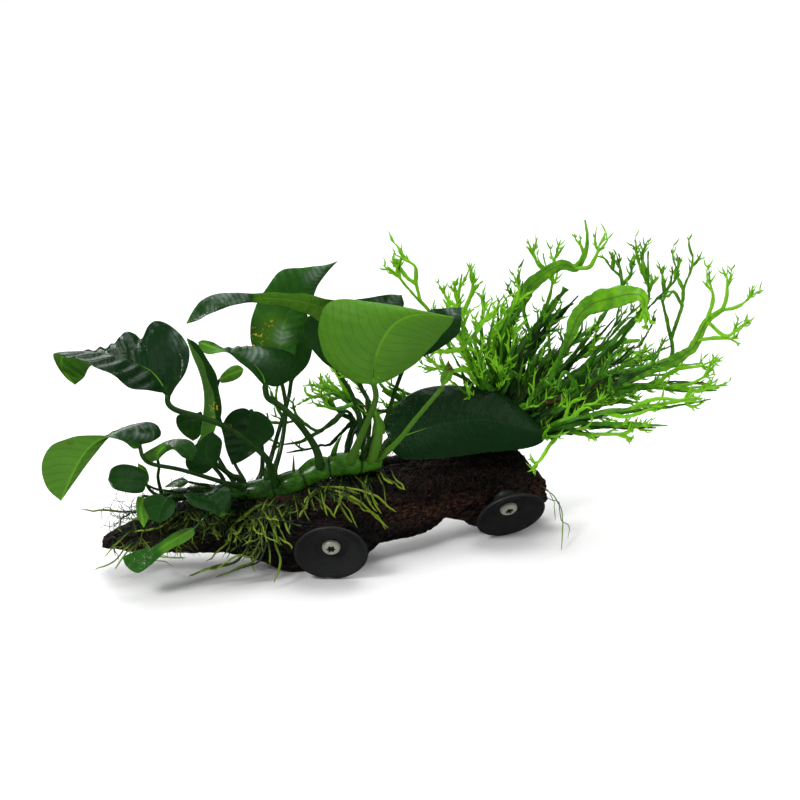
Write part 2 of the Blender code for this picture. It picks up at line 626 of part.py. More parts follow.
        "left": ((222, 374, 10), (230, 367, 11), (238, 365, 11)),
        "right": ((222, 383, 9), (233, 381, 9), (241, 376, 10)),
        "stalk_radius": 0.7, "arch": 0.06,
    },
}
LEAF_THICKNESS = 1.1           # mm at the middle of each half of the blade
STALK_CLEARANCE = 0.8          # mm between a stalk's end and the rhizome
STALK_END = 2.2                # radii of stalk left out where it meets the blade
STALK_RISE = 2.4               # mm that a stalk stands straight out before it bends
BLADE_STATIONS = (0.04, 0.15, 0.3, 0.46, 0.63, 0.79, 0.93)
SMALL_BLADE_STATIONS = (0.05, 0.2, 0.4, 0.62, 0.82, 0.94)
LARGE_LEAVES = ("leaf_big_left", "leaf_far_left", "leaf_big_pale", "leaf_big_right", "leaf_upright_back",
                "leaf_long_left", "leaf_centre_left")


def blade_rings(leaf, stations):
    """Rings of eight points across the blade, lens-shaped from margin to margin."""
    rib_line = places(leaf["rib"])
    stations = np.asarray(stations)
    rib = along(rib_line, stations)
    ends = leaf["rib"][0], leaf["rib"][-1]
    skew = leaf.get("skew", (1.0, 1.0))
    left = along(places((ends[0], *leaf["left"], ends[1])), stations ** skew[0])
    right = along(places((ends[0], *leaf["right"], ends[1])), stations ** skew[1])
    ahead = unit(along(rib_line, stations + 0.03) - along(rib_line, stations - 0.03))
    normal = unit(np.cross(right - left, ahead))
    rise_left = normal * np.linalg.norm(left - rib, axis=1, keepdims=True) * leaf["arch"]
    rise_right = normal * np.linalg.norm(right - rib, axis=1, keepdims=True) * leaf["arch"]
    half = normal * LEAF_THICKNESS / 2
    keel = normal * np.interp(stations, (0.0, 1.0), (leaf["stalk_radius"], 0.6))[:, None]
    middle_left = (left + rib) / 2 + rise_left
    middle_right = (right + rib) / 2 + rise_right
    return np.stack([right, middle_right + half, rib + keel, middle_left + half, left,
                     middle_left - half, rib - keel, middle_right - half], axis=1)


def build_leaf(name, leaf, rhizome, finish, parts):
    """One leaf, its round stalk flowing into a thin blade."""
    large = name in LARGE_LEAVES
    sides = 8 if large else 4
    blade = blade_rings(leaf, BLADE_STATIONS if large else SMALL_BLADE_STATIONS)[:, ::8 // sides]
    base = place(*leaf["rib"][0])
    stalk_line = rooted(np.vstack([places(leaf["stalk"]), base]), rhizome)
    length = float(np.sum(np.linalg.norm(np.diff(stalk_line, axis=0), axis=1)))
    rings = max(3, min(6, int(length / 16.0) + 2))
    stalk = along(stalk_line, np.linspace(0.0, 1.0 - STALK_END * leaf["stalk_radius"] / length, rings))
    across = unit(blade[0, 0] - blade[0, sides // 2])
    ahead = directions(stalk)
    side = unit(across - ahead * np.sum(ahead * across, axis=1, keepdims=True))
    up = np.cross(side, ahead)
    angle = np.arange(sides) * 2 * math.pi / sides
    radius = leaf["stalk_radius"]
    stem = stalk[:, None] + radius * (np.cos(angle)[None, :, None] * side[:, None]
                                      + np.sin(angle)[None, :, None] * up[:, None])
    tip = place(*leaf["rib"][-1])
    end = tip + (blade[-1] - tip) * 0.15
    skin = np.concatenate([stem, blade, end[None]])
    vertices, faces = loft(skin)
    return add_object(name, vertices, faces, finish, parts)


# ---------------------------------------------------------------- fern fronds and roots

# Each frond is its root (fraction along the rhizome, and degrees behind the top), a strap route
# of Spots, the strap's widths in mm from base to tip, and the routes of the prongs it forks into.
FRONDS = {
    "fern_frond_tall": {
        "root": (0.73, 15),
        "strap": ((497, 395, 52), (499, 348, 54), (514, 312, 56), (532, 284, 58), (560, 265, 60),
                  (576, 268, 62), (586, 250, 62), (587, 234, 62), (585, 220, 62)),
        "widths": (2.0, 4.5, 7.0, 8.5, 8.5, 8.5, 8.0, 6.5, 3.0, 1.2),
        "prongs": (((574, 271, 61), (589, 267, 60), (596, 256, 60), (600, 243, 61)),
                   ((585, 256, 62), (580, 243, 63))),
    },
    "fern_frond_cut": {
        "root": (0.755, -40),
        "strap": ((510, 400, 45), (520, 352, 46), (545, 316, 47), (566, 288, 48)),
        "widths": (2.0, 4.0, 6.0, 6.0, 5.0),
        "prongs": (((530, 335, 46), (524, 310, 48), (519, 280, 49)), ((522, 310, 48), (510, 292, 50))),
    },
    "fern_frond_broad": {
        "root": (0.805, -30),
        "strap": ((542, 390, 40), (566, 345, 38), (577, 318, 38), (592, 304, 38), (612, 298, 40),
                  (632, 294, 39), (643, 298, 37), (645, 313, 35)),
        "widths": (2.0, 2.2, 2.6, 3.0, 3.4, 4.5, 9.0, 13.5, 12.0, 2.0),
        "prongs": (((645, 310, 35), (640, 320, 35)), ((645, 310, 35), (646, 327, 34)),
                   ((645, 308, 35), (650, 321, 35))),
    },
    "fern_frond_side": {
        "root": (0.86, 10),
        "strap": ((570, 385, 56), (614, 348, 58), (628, 330, 58), (652, 304, 59), (676, 278, 60),
                  (673, 258, 61)),
        "widths": (2.0, 3.0, 3.0, 6.5, 2.4, 2.2, 1.2),
        "prongs": (((664, 292, 59), (662, 272, 60)), ((676, 280, 60), (679, 262, 61))),
    },
    "fern_frond_long_right": {
        "root": (0.94, -5),
        "strap": ((570, 412, 36), (605, 393, 34), (640, 373, 33), (669, 363, 33), (693, 347, 33),
                  (706, 322, 34), (724, 309, 35)),
        "widths": (2.0, 4.0, 5.0, 5.0, 4.5, 8.0, 6.0, 3.0),
        "prongs": (((722, 311, 35), (727, 295, 36), (727, 277, 37)),
                   ((722, 311, 35), (737, 307, 34), (749, 299, 33)),
                   ((708, 322, 34), (713, 298, 36), (709, 279, 37)),
                   ((696, 340, 33), (723, 338, 32), (735, 341, 32)),
                   ((708, 323, 34), (726, 336, 31), (742, 325, 30))),
    },
    "fern_frond_forked": {
        "root": (0.91, 35),
        "strap": ((580, 400, 60), (640, 372, 63), (671, 358, 64), (668, 326, 66), (661, 296, 67)),
        "widths": (2.0, 3.0, 3.0, 2.8, 2.6, 1.6),
        "prongs": (((669, 340, 65), (682, 305, 67), (684, 288, 68), (692, 268, 69), (693, 254, 69)),
                   ((682, 305, 67), (674, 292, 68), (668, 297, 68)), ((684, 290, 68), (677, 276, 68))),
    },
    "fern_frond_back_fork": {
        "root": (0.825, 45),
        "strap": ((560, 370, 66), (600, 320, 68), (622, 284, 70), (611, 268, 71), (605, 259, 71)),
        "widths": (2.0, 3.5, 3.5, 3.0, 2.0, 1.2),
        "prongs": (((612, 270, 71), (614, 256, 72)), ((622, 285, 70), (630, 276, 71), (632, 265, 71)),
                   ((620, 283, 70), (619, 263, 71))),
    },
    "fern_frond_mid_fork": {
        "root": (0.885, -40),
        "strap": ((580, 375, 50), (630, 322, 52), (648, 301, 52), (648, 278, 53), (648, 251, 54)),
        "widths": (2.0, 3.0, 3.5, 3.0, 2.4, 1.2),
        "prongs": (((647, 285, 53), (641, 268, 54), (636, 256, 54)),
                   ((648, 282, 53), (643, 264, 54), (643, 253, 54)), ((648, 292, 52), (653, 280, 53))),
    },
    "fern_frond_low": {
        "root": (0.995, 0),
        "strap": ((562, 431, 34), (589, 434, 30), (612, 434, 27), (622, 435, 26)),
        "widths": (1.6, 3.0, 3.0, 2.8, 1.8),
        "prongs": (((620, 435, 26), (633, 430, 25)), ((619, 435, 26), (629, 438, 25))),
    },
    "fern_frond_lower_right": {
        "root": (0.965, -50),
        "strap": ((562, 422, 29), (600, 413, 24), (640, 407, 21), (697, 399, 18)),
        "widths": (1.8, 3.0, 3.0, 2.4, 1.4),
        "prongs": (((630, 408, 22), (655, 399, 20), (700, 402, 18)),
                   ((600, 413, 24), (628, 416, 22), (662, 405, 21))),
    },
    "fern_frond_right": {
        "root": (0.965, 40),
        "strap": ((565, 408, 41), (602, 396, 38), (640, 386, 36), (680, 388, 34), (726, 385, 32)),
        "widths": (1.8, 5.0, 6.0, 4.0, 2.4, 1.2),
        "prongs": (((668, 388, 34), (690, 384, 34), (709, 374, 34)),
                   ((655, 387, 35), (675, 370, 36), (699, 366, 37), (712, 361, 37)),
                   ((680, 388, 34), (700, 391, 32), (712, 386, 31))),
    },
    "fern_frond_crossing": {
        "root": (0.915, -75),
        "strap": ((566, 404, 31), (592, 382, 26), (612, 372, 21), (636, 370, 20)),
        "widths": (1.8, 4.0, 5.0, 4.0, 2.0),
        "prongs": (((575, 392, 24), (566, 372, 22), (558, 382, 20)), ((610, 372, 21), (609, 388, 18)),
                   ((625, 371, 20), (650, 366, 20), (656, 353, 21))),
    },
    "fern_tuft_top_left": {
        "root": (0.6, 0),
        "strap": ((466, 390, 46), (448, 345, 40), (433, 316, 36), (413, 294, 34), (396, 274, 34),
                  (387, 266, 34)),
        "widths": (1.6, 2.5, 2.5, 2.5, 3.0, 2.0, 1.0),
        "prongs": (((397, 276, 34), (397, 265, 35)),
                   ((420, 302, 35), (416, 282, 36), (415, 266, 36), (400, 258, 37)),
                   ((416, 284, 36), (405, 275, 36), (399, 264, 36))),
    },
    "fern_tuft_top_middle": {
        "root": (0.66, 30),
        "strap": ((480, 380, 54), (466, 335, 52), (458, 306, 50), (462, 274, 50)),
        "widths": (1.6, 3.0, 3.0, 3.0, 1.2),
        "prongs": (((459, 308, 50), (448, 300, 51), (444, 293, 52)), ((460, 303, 50), (454, 289, 51)),
                   ((462, 318, 50), (471, 295, 50), (474, 273, 51)), ((469, 299, 50), (476, 288, 51))),
    },
    "fern_tuft_bright": {
        "root": (0.64, -40),
        "strap": ((484, 395, 43), (469, 362, 34), (462, 335, 27), (470, 308, 27)),
        "widths": (1.6, 4.0, 4.5, 3.0, 1.2),
        "prongs": (((466, 350, 28), (446, 352, 25), (428, 344, 24)), ((464, 342, 27), (448, 330, 25)),
                   ((464, 350, 28), (478, 330, 27), (492, 312, 28)),
                   ((474, 374, 33), (450, 370, 28), (432, 368, 26))),
    },
    "fern_tuft_bright_right": {
        "root": (0.7, -15),
        "strap": ((496, 390, 46), (488, 355, 40), (492, 325, 40), (500, 300, 42)),
        "widths": (1.6, 4.0, 4.0, 3.0, 1.2),
        "prongs": (((488, 350, 40), (476, 338, 40), (478, 322, 40)),
                   ((490, 340, 40), (503, 322, 41), (508, 308, 42))),
    },
    "fern_frond_upper_back": {
        "root": (0.775, 50),
        "strap": ((524, 380, 66), (540, 325, 68), (552, 285, 70), (545, 263, 70), (543, 253, 70)),
        "widths": (2.0, 4.0, 4.0, 3.0, 2.0, 1.0),
        "prongs": (((549, 280, 70), (538, 264, 70), (533, 250, 70)),
                   ((551, 282, 70), (554, 263, 71), (557, 252, 71))),
    },
    "fern_tuft_left": {
        "root": (0.15, 0),
        "strap": ((366, 430, 24), (363, 412, 22), (350, 397, 20), (334, 390, 19), (315, 387, 18)),
        "widths": (1.6, 2.5, 3.0, 3.0, 2.5, 1.0),
        "prongs": (((340, 393, 19), (329, 381, 18)), ((350, 398, 20), (341, 382, 20), (337, 374, 20)),
                   ((356, 402, 21), (338, 409, 21), (323, 406, 21)), ((328, 389, 19), (322, 383, 18))),
    },
    "fern_runner": {
        "root": (0.03, 0),
        "strap": ((352, 420, 26), (344, 411, 24), (334, 421, 22), (318, 431, 24), (300, 421, 26),
                  (286, 423, 27), (270, 422, 27), (267, 413, 27)),
        "widths": (1.4, 2.5, 3.5, 3.5, 3.0, 2.0, 1.6, 1.6, 1.0),
        "prongs": (((303, 422, 26), (297, 416, 26), (294, 409, 26)),
                   ((325, 426, 23), (302, 441, 25), (279, 445, 26)),
                   ((286, 423, 27), (277, 405, 27), (276, 389, 27))),
    },
    "fern_frond_behind_leaf": {
        "root": (0.5, 0),
        "strap": ((450, 414, 56), (425, 406, 50), (403, 400, 46), (383, 389, 43)),
        "widths": (2.0, 5.0, 6.5, 6.0, 3.0),
        "prongs": (((440, 411, 54), (412, 396, 52), (388, 383, 50)),
                   ((405, 401, 46), (392, 409, 45), (376, 414, 44))),
    },
    "fern_frond_rear": {
        "root": (0.875, 75),
        "strap": ((540, 395, 82), (570, 362, 94), (610, 345, 104), (640, 340, 112)),
        "widths": (2.0, 6.0, 8.0, 6.0, 2.0),
        "prongs": (((610, 345, 104), (632, 352, 112), (650, 356, 118)),
                   ((618, 344, 106), (632, 325, 112), (644, 312, 116))),
    },
    "fern_frond_rear_left": {
        "root": (0.56, 50),
        "strap": ((486, 395, 84), (470, 362, 96), (452, 345, 104), (440, 332, 110)),
        "widths": (2.0, 6.0, 8.0, 6.0, 2.0),
        "prongs": (((456, 348, 102), (440, 352, 108), (428, 350, 114)),
                   ((448, 342, 106), (452, 322, 112), (448, 310, 114))),
    },
}
FROND_THICKNESS = 1.0
PRONG_WIDTHS = (2.0, 1.0)
STRAP_STATIONS = 7             # sections along a strap

# Roots are tapered threads. Each one is its spots along the bark, whose last number is the
# height off the bark in mm, and then its free spots, whose last number is a depth as usual.
ROOT_TUFTS = {
    "root_tuft_middle": {
        "start": (268, 503, 2.0),
        "threads": ((((262, 514, 3.2), (250, 538, 3.4)), ()), (((270, 514, 2.8), (274, 532, 2.8)), ()),
                    (((279, 510, 2.4), (291, 534, 2.6)), ()),
                    (((255, 507, 3.2), (240, 519, 3.2), (226, 533, 3.0)), ()),
                    (((266, 518, 3.0), (266, 542, 3.6)),
                     ((260, 561, -38), (243, 567, -40), (216, 577, -42))),
                    (((272, 517, 3.0), (275, 543, 3.6)), ((281, 562, -37), (274, 582, -41))),
                    (((258, 515, 3.6), (250, 543, 5.0)),
                     ((236, 561, -36), (212, 567, -40), (189, 575, -42)))),
        "radius": 1.0,
    },
    "root_tuft_right": {
        "start": (320, 487, 2.0),
        "threads": ((((310, 499, 2.6), (301, 519, 2.6)), ()), (((322, 500, 2.6), (327, 516, 2.6)), ()),
                    (((333, 496, 2.6), (352, 523, 2.8)), ()),
                    (((343, 494, 2.8), (366, 507, 2.8), (388, 528, 3.4)), ()),
                    (((350, 488, 3.0), (376, 497, 3.2), (396, 512, 3.6)), ())),
        "radius": 0.9,
    },
    "root_mass_left": {
        "start": (196, 508, 2.0),
        "threads": ((((180, 514, 2.4), (158, 528, 2.4), (134, 532, 2.6)), ()),
                    (((174, 511, 3.0),), ((142, 512, -38), (112, 511, -44), (81, 511, -48))),
                    (((206, 518, 2.4), (219, 540, 2.8)), ()), (((190, 518, 2.4), (181, 536, 2.6)), ()),
                    (((214, 512, 2.8), (236, 515, 2.8)), ())),
        "radius": 0.9,
    },
    "root_tendrils_low": {
        "start": (141, 538, 2.0),
        "threads": ((((130, 541, 4.0),), ((116, 558, -32), (96, 571, -36))),
                    ((), ((127, 552, -32), (115, 569, -36))), ((), ((160, 556, -36), (186, 559, -38)))),
        "radius": 0.7,
    },
    "root_hair_right": {
        "start": (545, 489, 1.6),
        "threads": (((), ((555, 498, 40), (562, 515, 30), (562, 535, 18), (562, 550, 8))),),
        "radius": 0.5,
    },
}


def strap_rings(points, widths, thickness, sides=4):
    """Rings of a flat frond: its two margins and a keel over the midrib, or one on both faces."""
    ahead = directions(points)
    side = unit(np.cross(ahead, np.array([0.25, -1.0, 0.45])))
    face = unit(np.cross(side, ahead))
    half = np.asarray(widths, float)[:, None] / 2
    keel = np.minimum(np.full_like(half, thickness / 2), half)
    if sides == 3:
        return np.stack([points + side * half - face * keel, points + face * keel,
                         points - side * half - face * keel], axis=1)
    return np.stack([points + side * half, points + face * keel, points - side * half,
                     points - face * keel], axis=1)


def grown_from(route, stems):
    """A branch's route with its first point moved onto the nearest point of the stems' middles."""
    steps = np.linspace(0.0, 1.0, 12)[:, None, None]
    fine = np.vstack([(stem[:-1] + steps * (stem[1:] - stem[:-1])).reshape(-1, 3) for stem in stems])
    nearest = fine[np.argmin(np.linalg.norm(fine - route[0], axis=1))]
    return np.vstack([nearest, route[1:]])


def joined(name, main, branches, finish, parts, cutters):
    """A body and its overlapping branches fused into one solid by a Boolean union."""
    vertices, faces = loft(main)
    body = add_object(name, vertices, faces, finish, parts)
    if branches:
        all_vertices, all_faces = [], []
        for rings in branches:
            more, more_faces = loft(rings, len(all_vertices))
            all_vertices.extend(more.tolist())
            all_faces.extend(more_faces)
        twigs = add_object(f"branches_{name}", all_vertices, all_faces, None, cutters)
        twigs.hide_render = True
        twigs.display_type = "WIRE"
        union = body.modifiers.new("branches", "BOOLEAN")
        union.object = twigs
        union.operation = "UNION"
        union.solver = "EXACT"
        union.use_self = True
    return body


def build_frond(name, frond, rhizome, finish, parts, cutters):
    """One fern frond: a strap and the forks it divides into."""
    fraction, degrees = frond["root"]
    stem = along(rhizome, (fraction,))[0]
    tilt = math.radians(degrees)
    outward = np.array([0.0, math.sin(tilt), math.cos(tilt)])
    base = stem[:3] + outward * (stem[3] + STALK_CLEARANCE)
    line = np.vstack([base, base + outward * STALK_RISE, places(frond["strap"])])
    fractions = np.linspace(0, 1, STRAP_STATIONS)
    widths = np.interp(fractions, np.linspace(0, 1, len(frond["widths"])), frond["widths"])
    middles = along(line, fractions)
    main = strap_rings(middles, widths, FROND_THICKNESS)
    stems = [middles]
    prongs = []
    for prong in frond["prongs"]:
        route = grown_from(places(prong), stems)
        fractions = np.linspace(0, 1, max(3, len(prong) - 1))
        widths = np.interp(fractions, (0, 1), PRONG_WIDTHS)
        middles = along(route, fractions)
        stems.append(middles)
        prongs.append(strap_rings(middles, widths, FROND_THICKNESS, 3))
    return joined(name, main, prongs, finish, parts, cutters)


def build_root_tuft(name, tuft, finish, parts, cutters):
    """A tuft of roots that spread from one place, follow the bark and then hang free."""
    start = on_wood(*tuft["start"])
    threads = []
    for bark, free in tuft["threads"]:
        line = np.array([start, *[on_wood(*spot) for spot in bark], *[place(*spot) for spot in free]])
        fractions = np.linspace(0, 1, max(3, len(line)))
        radii = np.interp(fractions, (0, 1), (tuft["radius"], tuft["radius"] * 0.5))
        threads.append(tube_rings(along(line, fractions), radii, 3))
    return joined(name, threads[0], threads[1:], finish, parts, cutters)


# ---------------------------------------------------------------- the whole object

def clear_scene():
    """Remove whatever the file holds."""
    for old in list(bpy.data.objects):
        bpy.data.objects.remove(old, do_unlink=True)


def new_collection(name):
    """A collection linked to the scene."""
    made = bpy.data.collections.new(name)
    bpy.context.scene.collection.children.link(made)
    return made


def main():
    """Build every piece of the object."""
    clear_scene()
    parts = new_collection("java_fern_on_driftwood")
    cutters = new_collection("cutters")
    looks = {name: material(name, colour, FOLIAGE_ROUGHNESS) for name, colour in FOLIAGE.items()}
    build_driftwood(parts, cutters)
    for side in CUPS:
        build_cup(side, parts)
        build_screw(side, parts, cutters)
    anubias, fern = anubias_rhizome_route(), fern_rhizome_route()
    build_rhizome("anubias_rhizome", anubias, RHIZOME_KNOBS, RHIZOME_SIDES, looks["anubias"], parts)
    build_rhizome("fern_rhizome", fern, FERN_RHIZOME_KNOBS, FERN_RHIZOME_SIDES, looks["root"], parts)
    for name, leaf in LEAVES.items():
        build_leaf(name, leaf, anubias, looks["anubias"], parts)
    for name, frond in FRONDS.items():
        build_frond(name, frond, fern, looks["fern"], parts, cutters)
    for name, tuft in ROOT_TUFTS.items():
        build_root_tuft(name, tuft, looks["root"], parts, cutters)


main()
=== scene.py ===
"""Looks of a driftwood log planted with broad-leaved anubias and lace java fern.

The log lies on two rubber suction cups and its own flat belly. Every place on the plants is a
Spot: column and row of the 800 x 800 reference picture and the depth in millimetres behind the
object's front-to-back origin; `place` turns Spots into millimetres and `to_metres` moves them
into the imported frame. Each class makes one kind of piece and dresses it.
"""

from __future__ import annotations

import logging
import math
from dataclasses import dataclass, field
from enum import Enum

import bpy
import numpy as np
from mathutils import Euler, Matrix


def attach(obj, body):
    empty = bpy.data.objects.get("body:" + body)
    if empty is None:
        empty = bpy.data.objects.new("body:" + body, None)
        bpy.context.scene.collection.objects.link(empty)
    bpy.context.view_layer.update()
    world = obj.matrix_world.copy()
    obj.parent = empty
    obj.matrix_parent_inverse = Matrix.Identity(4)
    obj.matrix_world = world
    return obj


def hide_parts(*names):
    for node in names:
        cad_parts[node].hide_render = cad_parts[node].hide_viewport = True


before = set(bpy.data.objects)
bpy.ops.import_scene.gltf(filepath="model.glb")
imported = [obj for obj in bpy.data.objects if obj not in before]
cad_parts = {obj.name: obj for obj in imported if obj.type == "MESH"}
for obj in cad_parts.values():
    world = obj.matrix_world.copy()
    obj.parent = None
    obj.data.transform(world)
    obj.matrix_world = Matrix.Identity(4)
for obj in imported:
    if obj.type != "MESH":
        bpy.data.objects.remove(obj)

log = logging.getLogger("planted_log")
Array = np.ndarray
Colour = tuple[float, float, float]
Socket = bpy.types.NodeSocket
Material = bpy.types.Material
Draws = np.random.Generator
Marks = Array | tuple[()]      # rows of column, row and size in pixels, or none
Range = tuple[float, float]
Rows = tuple[tuple[float, ...], ...]

MM = 0.001

# Viewpoint of the reference picture, the same as in the part's source.
VIEW_ELEVATION = math.radians(20.0)
VIEW_DISTANCE = 1300.0         # mm from the aim point
PIXEL = 0.54                   # mm per picture pixel at the aim point
AIM_HEIGHT = 93.2              # mm above the ground
PICTURE_MIDDLE = 400.0         # pixels
ORIGIN = np.array([1.70, 27.85, 0.0])   # mm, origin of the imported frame
FORWARD = np.array([0.0, math.cos(VIEW_ELEVATION), -math.sin(VIEW_ELEVATION)])
UPWARD = np.array([0.0, math.sin(VIEW_ELEVATION), math.cos(VIEW_ELEVATION)])
EYE = np.array([0.0, 0.0, AIM_HEIGHT]) - FORWARD * VIEW_DISTANCE
ACROSS_VIEW = np.array([0.25, -1.0, 0.45])   # direction that sides of thin pieces stay square to
LOWEST = 1.2                   # mm above the ground, the least height of a root's middle
STALK_RISE = 3.2               # mm that a stalk runs straight out of its rhizome
FINGER_POINTS = 7              # points along a finger of the fern's crests
ROOT_POINTS = 24               # points along a root, a side root and a fibre of the bark
SIDE_ROOT_POINTS = 8
FIBRE_POINTS = 16
FINGERS_PER_FORK = 3
PAST_RIB = 9.0                 # mm from a midrib, for fingers that show none
NEAREST = -90.0                # mm, a depth in front of all the bark
HALVINGS = 40                  # steps of a search for the bark
WOOD_SEED = 31
FIRST_FROND_SEED = 100
FIRST_ROOT_SEED = 200

# Suction cups and screws, mm.
CUP_HEIGHT = 13.0
CUP_HOLLOW = 6.2
CUP_SEAT_RADIUS = 11.0
CUP_SEAT_REACH = 20.0          # mm above the seat that the wood is cut away
CUPS = {
    "left": {"centre": (-37.0, -36.0, 18.5), "axis": (0.0, -0.9205, -0.3907)},
    "right": {"centre": (62.1, 21.1, 16.6), "axis": (0.2617, -0.7843, -0.5624)},
}
GAP = 0.4                      # between a cup and the wood, and under a screw's head
SCREW_HEAD_HEIGHT = 2.8
SCREW_SHANK_RADIUS = 2.0
SCREW_REACH = 22.0             # from under the head to the point
RECESS_RADII = (2.7, 1.8)
RECESS_LOBES = 6
RECESS_DEPTH = 1.6

# Driftwood sections along its length: centre x, y, z, half depth and half height, mm.
WOOD_SECTIONS = (
    (-162, -14.0, 16.0, 4.5, 2.4), (-160, -13.8, 16.6, 8.0, 3.4), (-154, -13.4, 18.3, 11.0, 4.6),
    (-146, -13.0, 19.6, 13.0, 8.0), (-133, -12.0, 20.9, 14.5, 10.6), (-120, -11.0, 22.0, 16.0, 12.0),
    (-103, -10.0, 22.1, 17.0, 13.1), (-87, -9.5, 21.9, 18.0, 14.3), (-73, -9.0, 20.8, 19.0, 17.7),
    (-60, -8.0, 20.0, 20.0, 22.1), (-44, -6.0, 21.8, 20.5, 24.5), (-27, -1.0, 23.6, 20.0, 25.9),
    (-11, 8.0, 27.9, 18.5, 20.4), (6, 18.0, 27.4, 18.0, 20.6), (18, 27.0, 26.7, 17.5, 19.5),
    (25, 31.0, 29.3, 17.0, 16.4), (31, 35.0, 28.6, 16.5, 16.9), (39, 39.5, 26.2, 17.0, 18.8),
    (51, 45.0, 22.5, 16.0, 23.0), (62, 50.5, 20.2, 15.5, 23.0), (69, 53.0, 19.9, 15.5, 22.1),
    (73, 54.0, 18.6, 15.5, 17.6), (79, 56.0, 17.6, 13.5, 14.2), (84, 58.5, 16.0, 9.0, 8.8),
    (86, 59.5, 15.6, 5.0, 5.2),
)
WOOD_SQUARENESS = 2.5          # exponent of the rounded-square section
# Long grain ridges round the section: waves round, turns along the log, start angle, height.
WOOD_RIDGES = ((3, 1.1, 0.4, 0.050), (5, -2.3, 1.9, 0.035), (8, 3.1, 4.0, 0.025))

# The anubias rhizome: column, row, radius in mm. It creeps along the crest of the log.
RHIZOME_ROUTE = (
    (158, 500, 2.6), (182, 494, 3.0), (205, 491, 3.2), (226, 491, 3.6), (244, 491, 4.2),
    (262, 489, 4.7), (278, 486, 4.9), (292, 482, 5.0), (306, 475, 5.0), (320, 468, 5.2),
    (336, 465, 5.0), (352, 464, 4.9), (368, 461, 4.7), (382, 459, 3.6),
)
RHIZOME_LIFT = 0.9             # mm between the rhizome and the wood
# The fern rhizome: x in mm, angle round the log's section in degrees, radius in mm.
FERN_RHIZOME_ROUTE = (
    (-34, 52, 1.8), (-20, 54, 2.4), (-4, 56, 2.5), (14, 58, 2.5), (32, 62, 2.8), (46, 70, 3.2), (58, 78, 3.3),
    (68, 84, 2.2),
)


# ---------------------------------------------------------------- places, routes and noise

def spots(*numbers: float) -> Array:
    """Rows of three, such as Spots, from their numbers written one after another."""
    return np.array(numbers, float).reshape(-1, 3)


def place(route: Array) -> Array:
    """Points in mm of Spots: the eye's ray through (column, row), cut at y = depth.

    Args:
        route: Array (..., 3) of column, row and depth.
    Returns:
        Array (..., 3) in mm, in the picture's frame.
    """
    per_pixel = PIXEL / VIEW_DISTANCE
    ray = FORWARD + UPWARD * ((PICTURE_MIDDLE - route[..., 1:2]) * per_pixel)
    ray[..., 0] += (route[..., 0] - PICTURE_MIDDLE) * per_pixel
    return EYE + ray * ((route[..., 2] - EYE[1]) / ray[..., 1])[..., None]


def seen_at(points: Array) -> Array:
    """Columns and rows where points in mm appear: offsets from the eye over their distance ahead.

    Args:
        points: Array (..., 3) in mm.
    Returns:
        Array (..., 2) of columns and rows.
    """
    reach = points - EYE
    scale = VIEW_DISTANCE / PIXEL / (reach @ FORWARD)
    return np.stack([PICTURE_MIDDLE + reach[..., 0] * scale,
                     PICTURE_MIDDLE - (reach @ UPWARD) * scale], axis=-1)


def to_metres(points: Array) -> Array:
    """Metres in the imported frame: picture-frame mm less the origin, times 0.001."""
    return (points - ORIGIN) * MM


def unit(vectors: Array) -> Array:
    """Vectors over their own length."""
    return vectors / np.maximum(np.linalg.norm(vectors, axis=-1, keepdims=True), 1e-9)


def along(points: Array, fractions: Array) -> Array:
    """Points at fractions of the length of a Catmull-Rom curve through the given points.

    Args:
        points: Array (n, d) that the curve passes through.
        fractions: Array of fractions of its length.
    Returns:
        Array (len(fractions), d).
    """
    points = np.asarray(points, float)
    steps = np.linspace(0.0, 1.0, 9)[1:, None]
    before = np.vstack([2 * points[0] - points[1], points[:-1]])
    after = np.vstack([points[1:], 2 * points[-1] - points[-2]])
    start, end = points[:-1, None], points[1:, None]
    pull_start = (end - before[:-1, None]) / 2
    pull_end = (after[1:, None] - start) / 2
    fine = ((2 * steps ** 3 - 3 * steps ** 2 + 1) * start + (steps ** 3 - 2 * steps ** 2 + steps) * pull_start
            + (3 * steps ** 2 - 2 * steps ** 3) * end + (steps ** 3 - steps ** 2) * pull_end)
    fine = np.vstack([points[:1], fine.reshape(-1, points.shape[1])])
    run = np.concatenate([[0.0], np.cumsum(np.linalg.norm(np.diff(fine, axis=0), axis=1))])
    wanted = np.asarray(fractions, float) * run[-1]
    return np.column_stack([np.interp(wanted, run, fine[:, axis]) for axis in range(fine.shape[1])])


def length_of(points: Array) -> float:
    """Length of a route: the sum of its steps."""
    return float(np.linalg.norm(np.diff(points, axis=0), axis=1).sum())


def curves(points: Array, count: int) -> Array:
    """Catmull-Rom curves through stacks of points, at even steps from point to point.

    Args:
        points: Array (k, p, 3).
        count: Points on each curve.
    Returns:
        Array (k, count, 3).
    """
    spans = points.shape[1] - 1
    where = np.linspace(0, spans, count)
    span = np.minimum(where.astype(int), spans - 1)
    step = (where - span)[None, :, None]
    before, after = 2 * points[:, :1] - points[:, 1:2], 2 * points[:, -1:] - points[:, -2:-1]
    padded = np.concatenate([before, points, after], 1)
    a, b, c, d = (padded[:, span + shift] for shift in range(4))
    return b + step / 2 * (c - a + step * (2 * a - 5 * b + 4 * c - d + step * (3 * (b - c) + d - a)))


def directions(points: Array) -> Array:
    """Direction of travel at each point of routes (..., n, 3): the unit gradient along n."""
    return unit(np.gradient(points, axis=-2))


def sides(ahead: Array) -> tuple[Array, Array]:
    """Unit vectors square to travel: one across the view, and one out of the first's plane."""
    side = unit(np.cross(ahead, ACROSS_VIEW))
    return side, unit(np.cross(side, ahead))


def round_angles(count: int) -> Array:
    """Even angles in radians once round a ring."""
    return np.linspace(0, 2 * math.pi, count, endpoint=False)


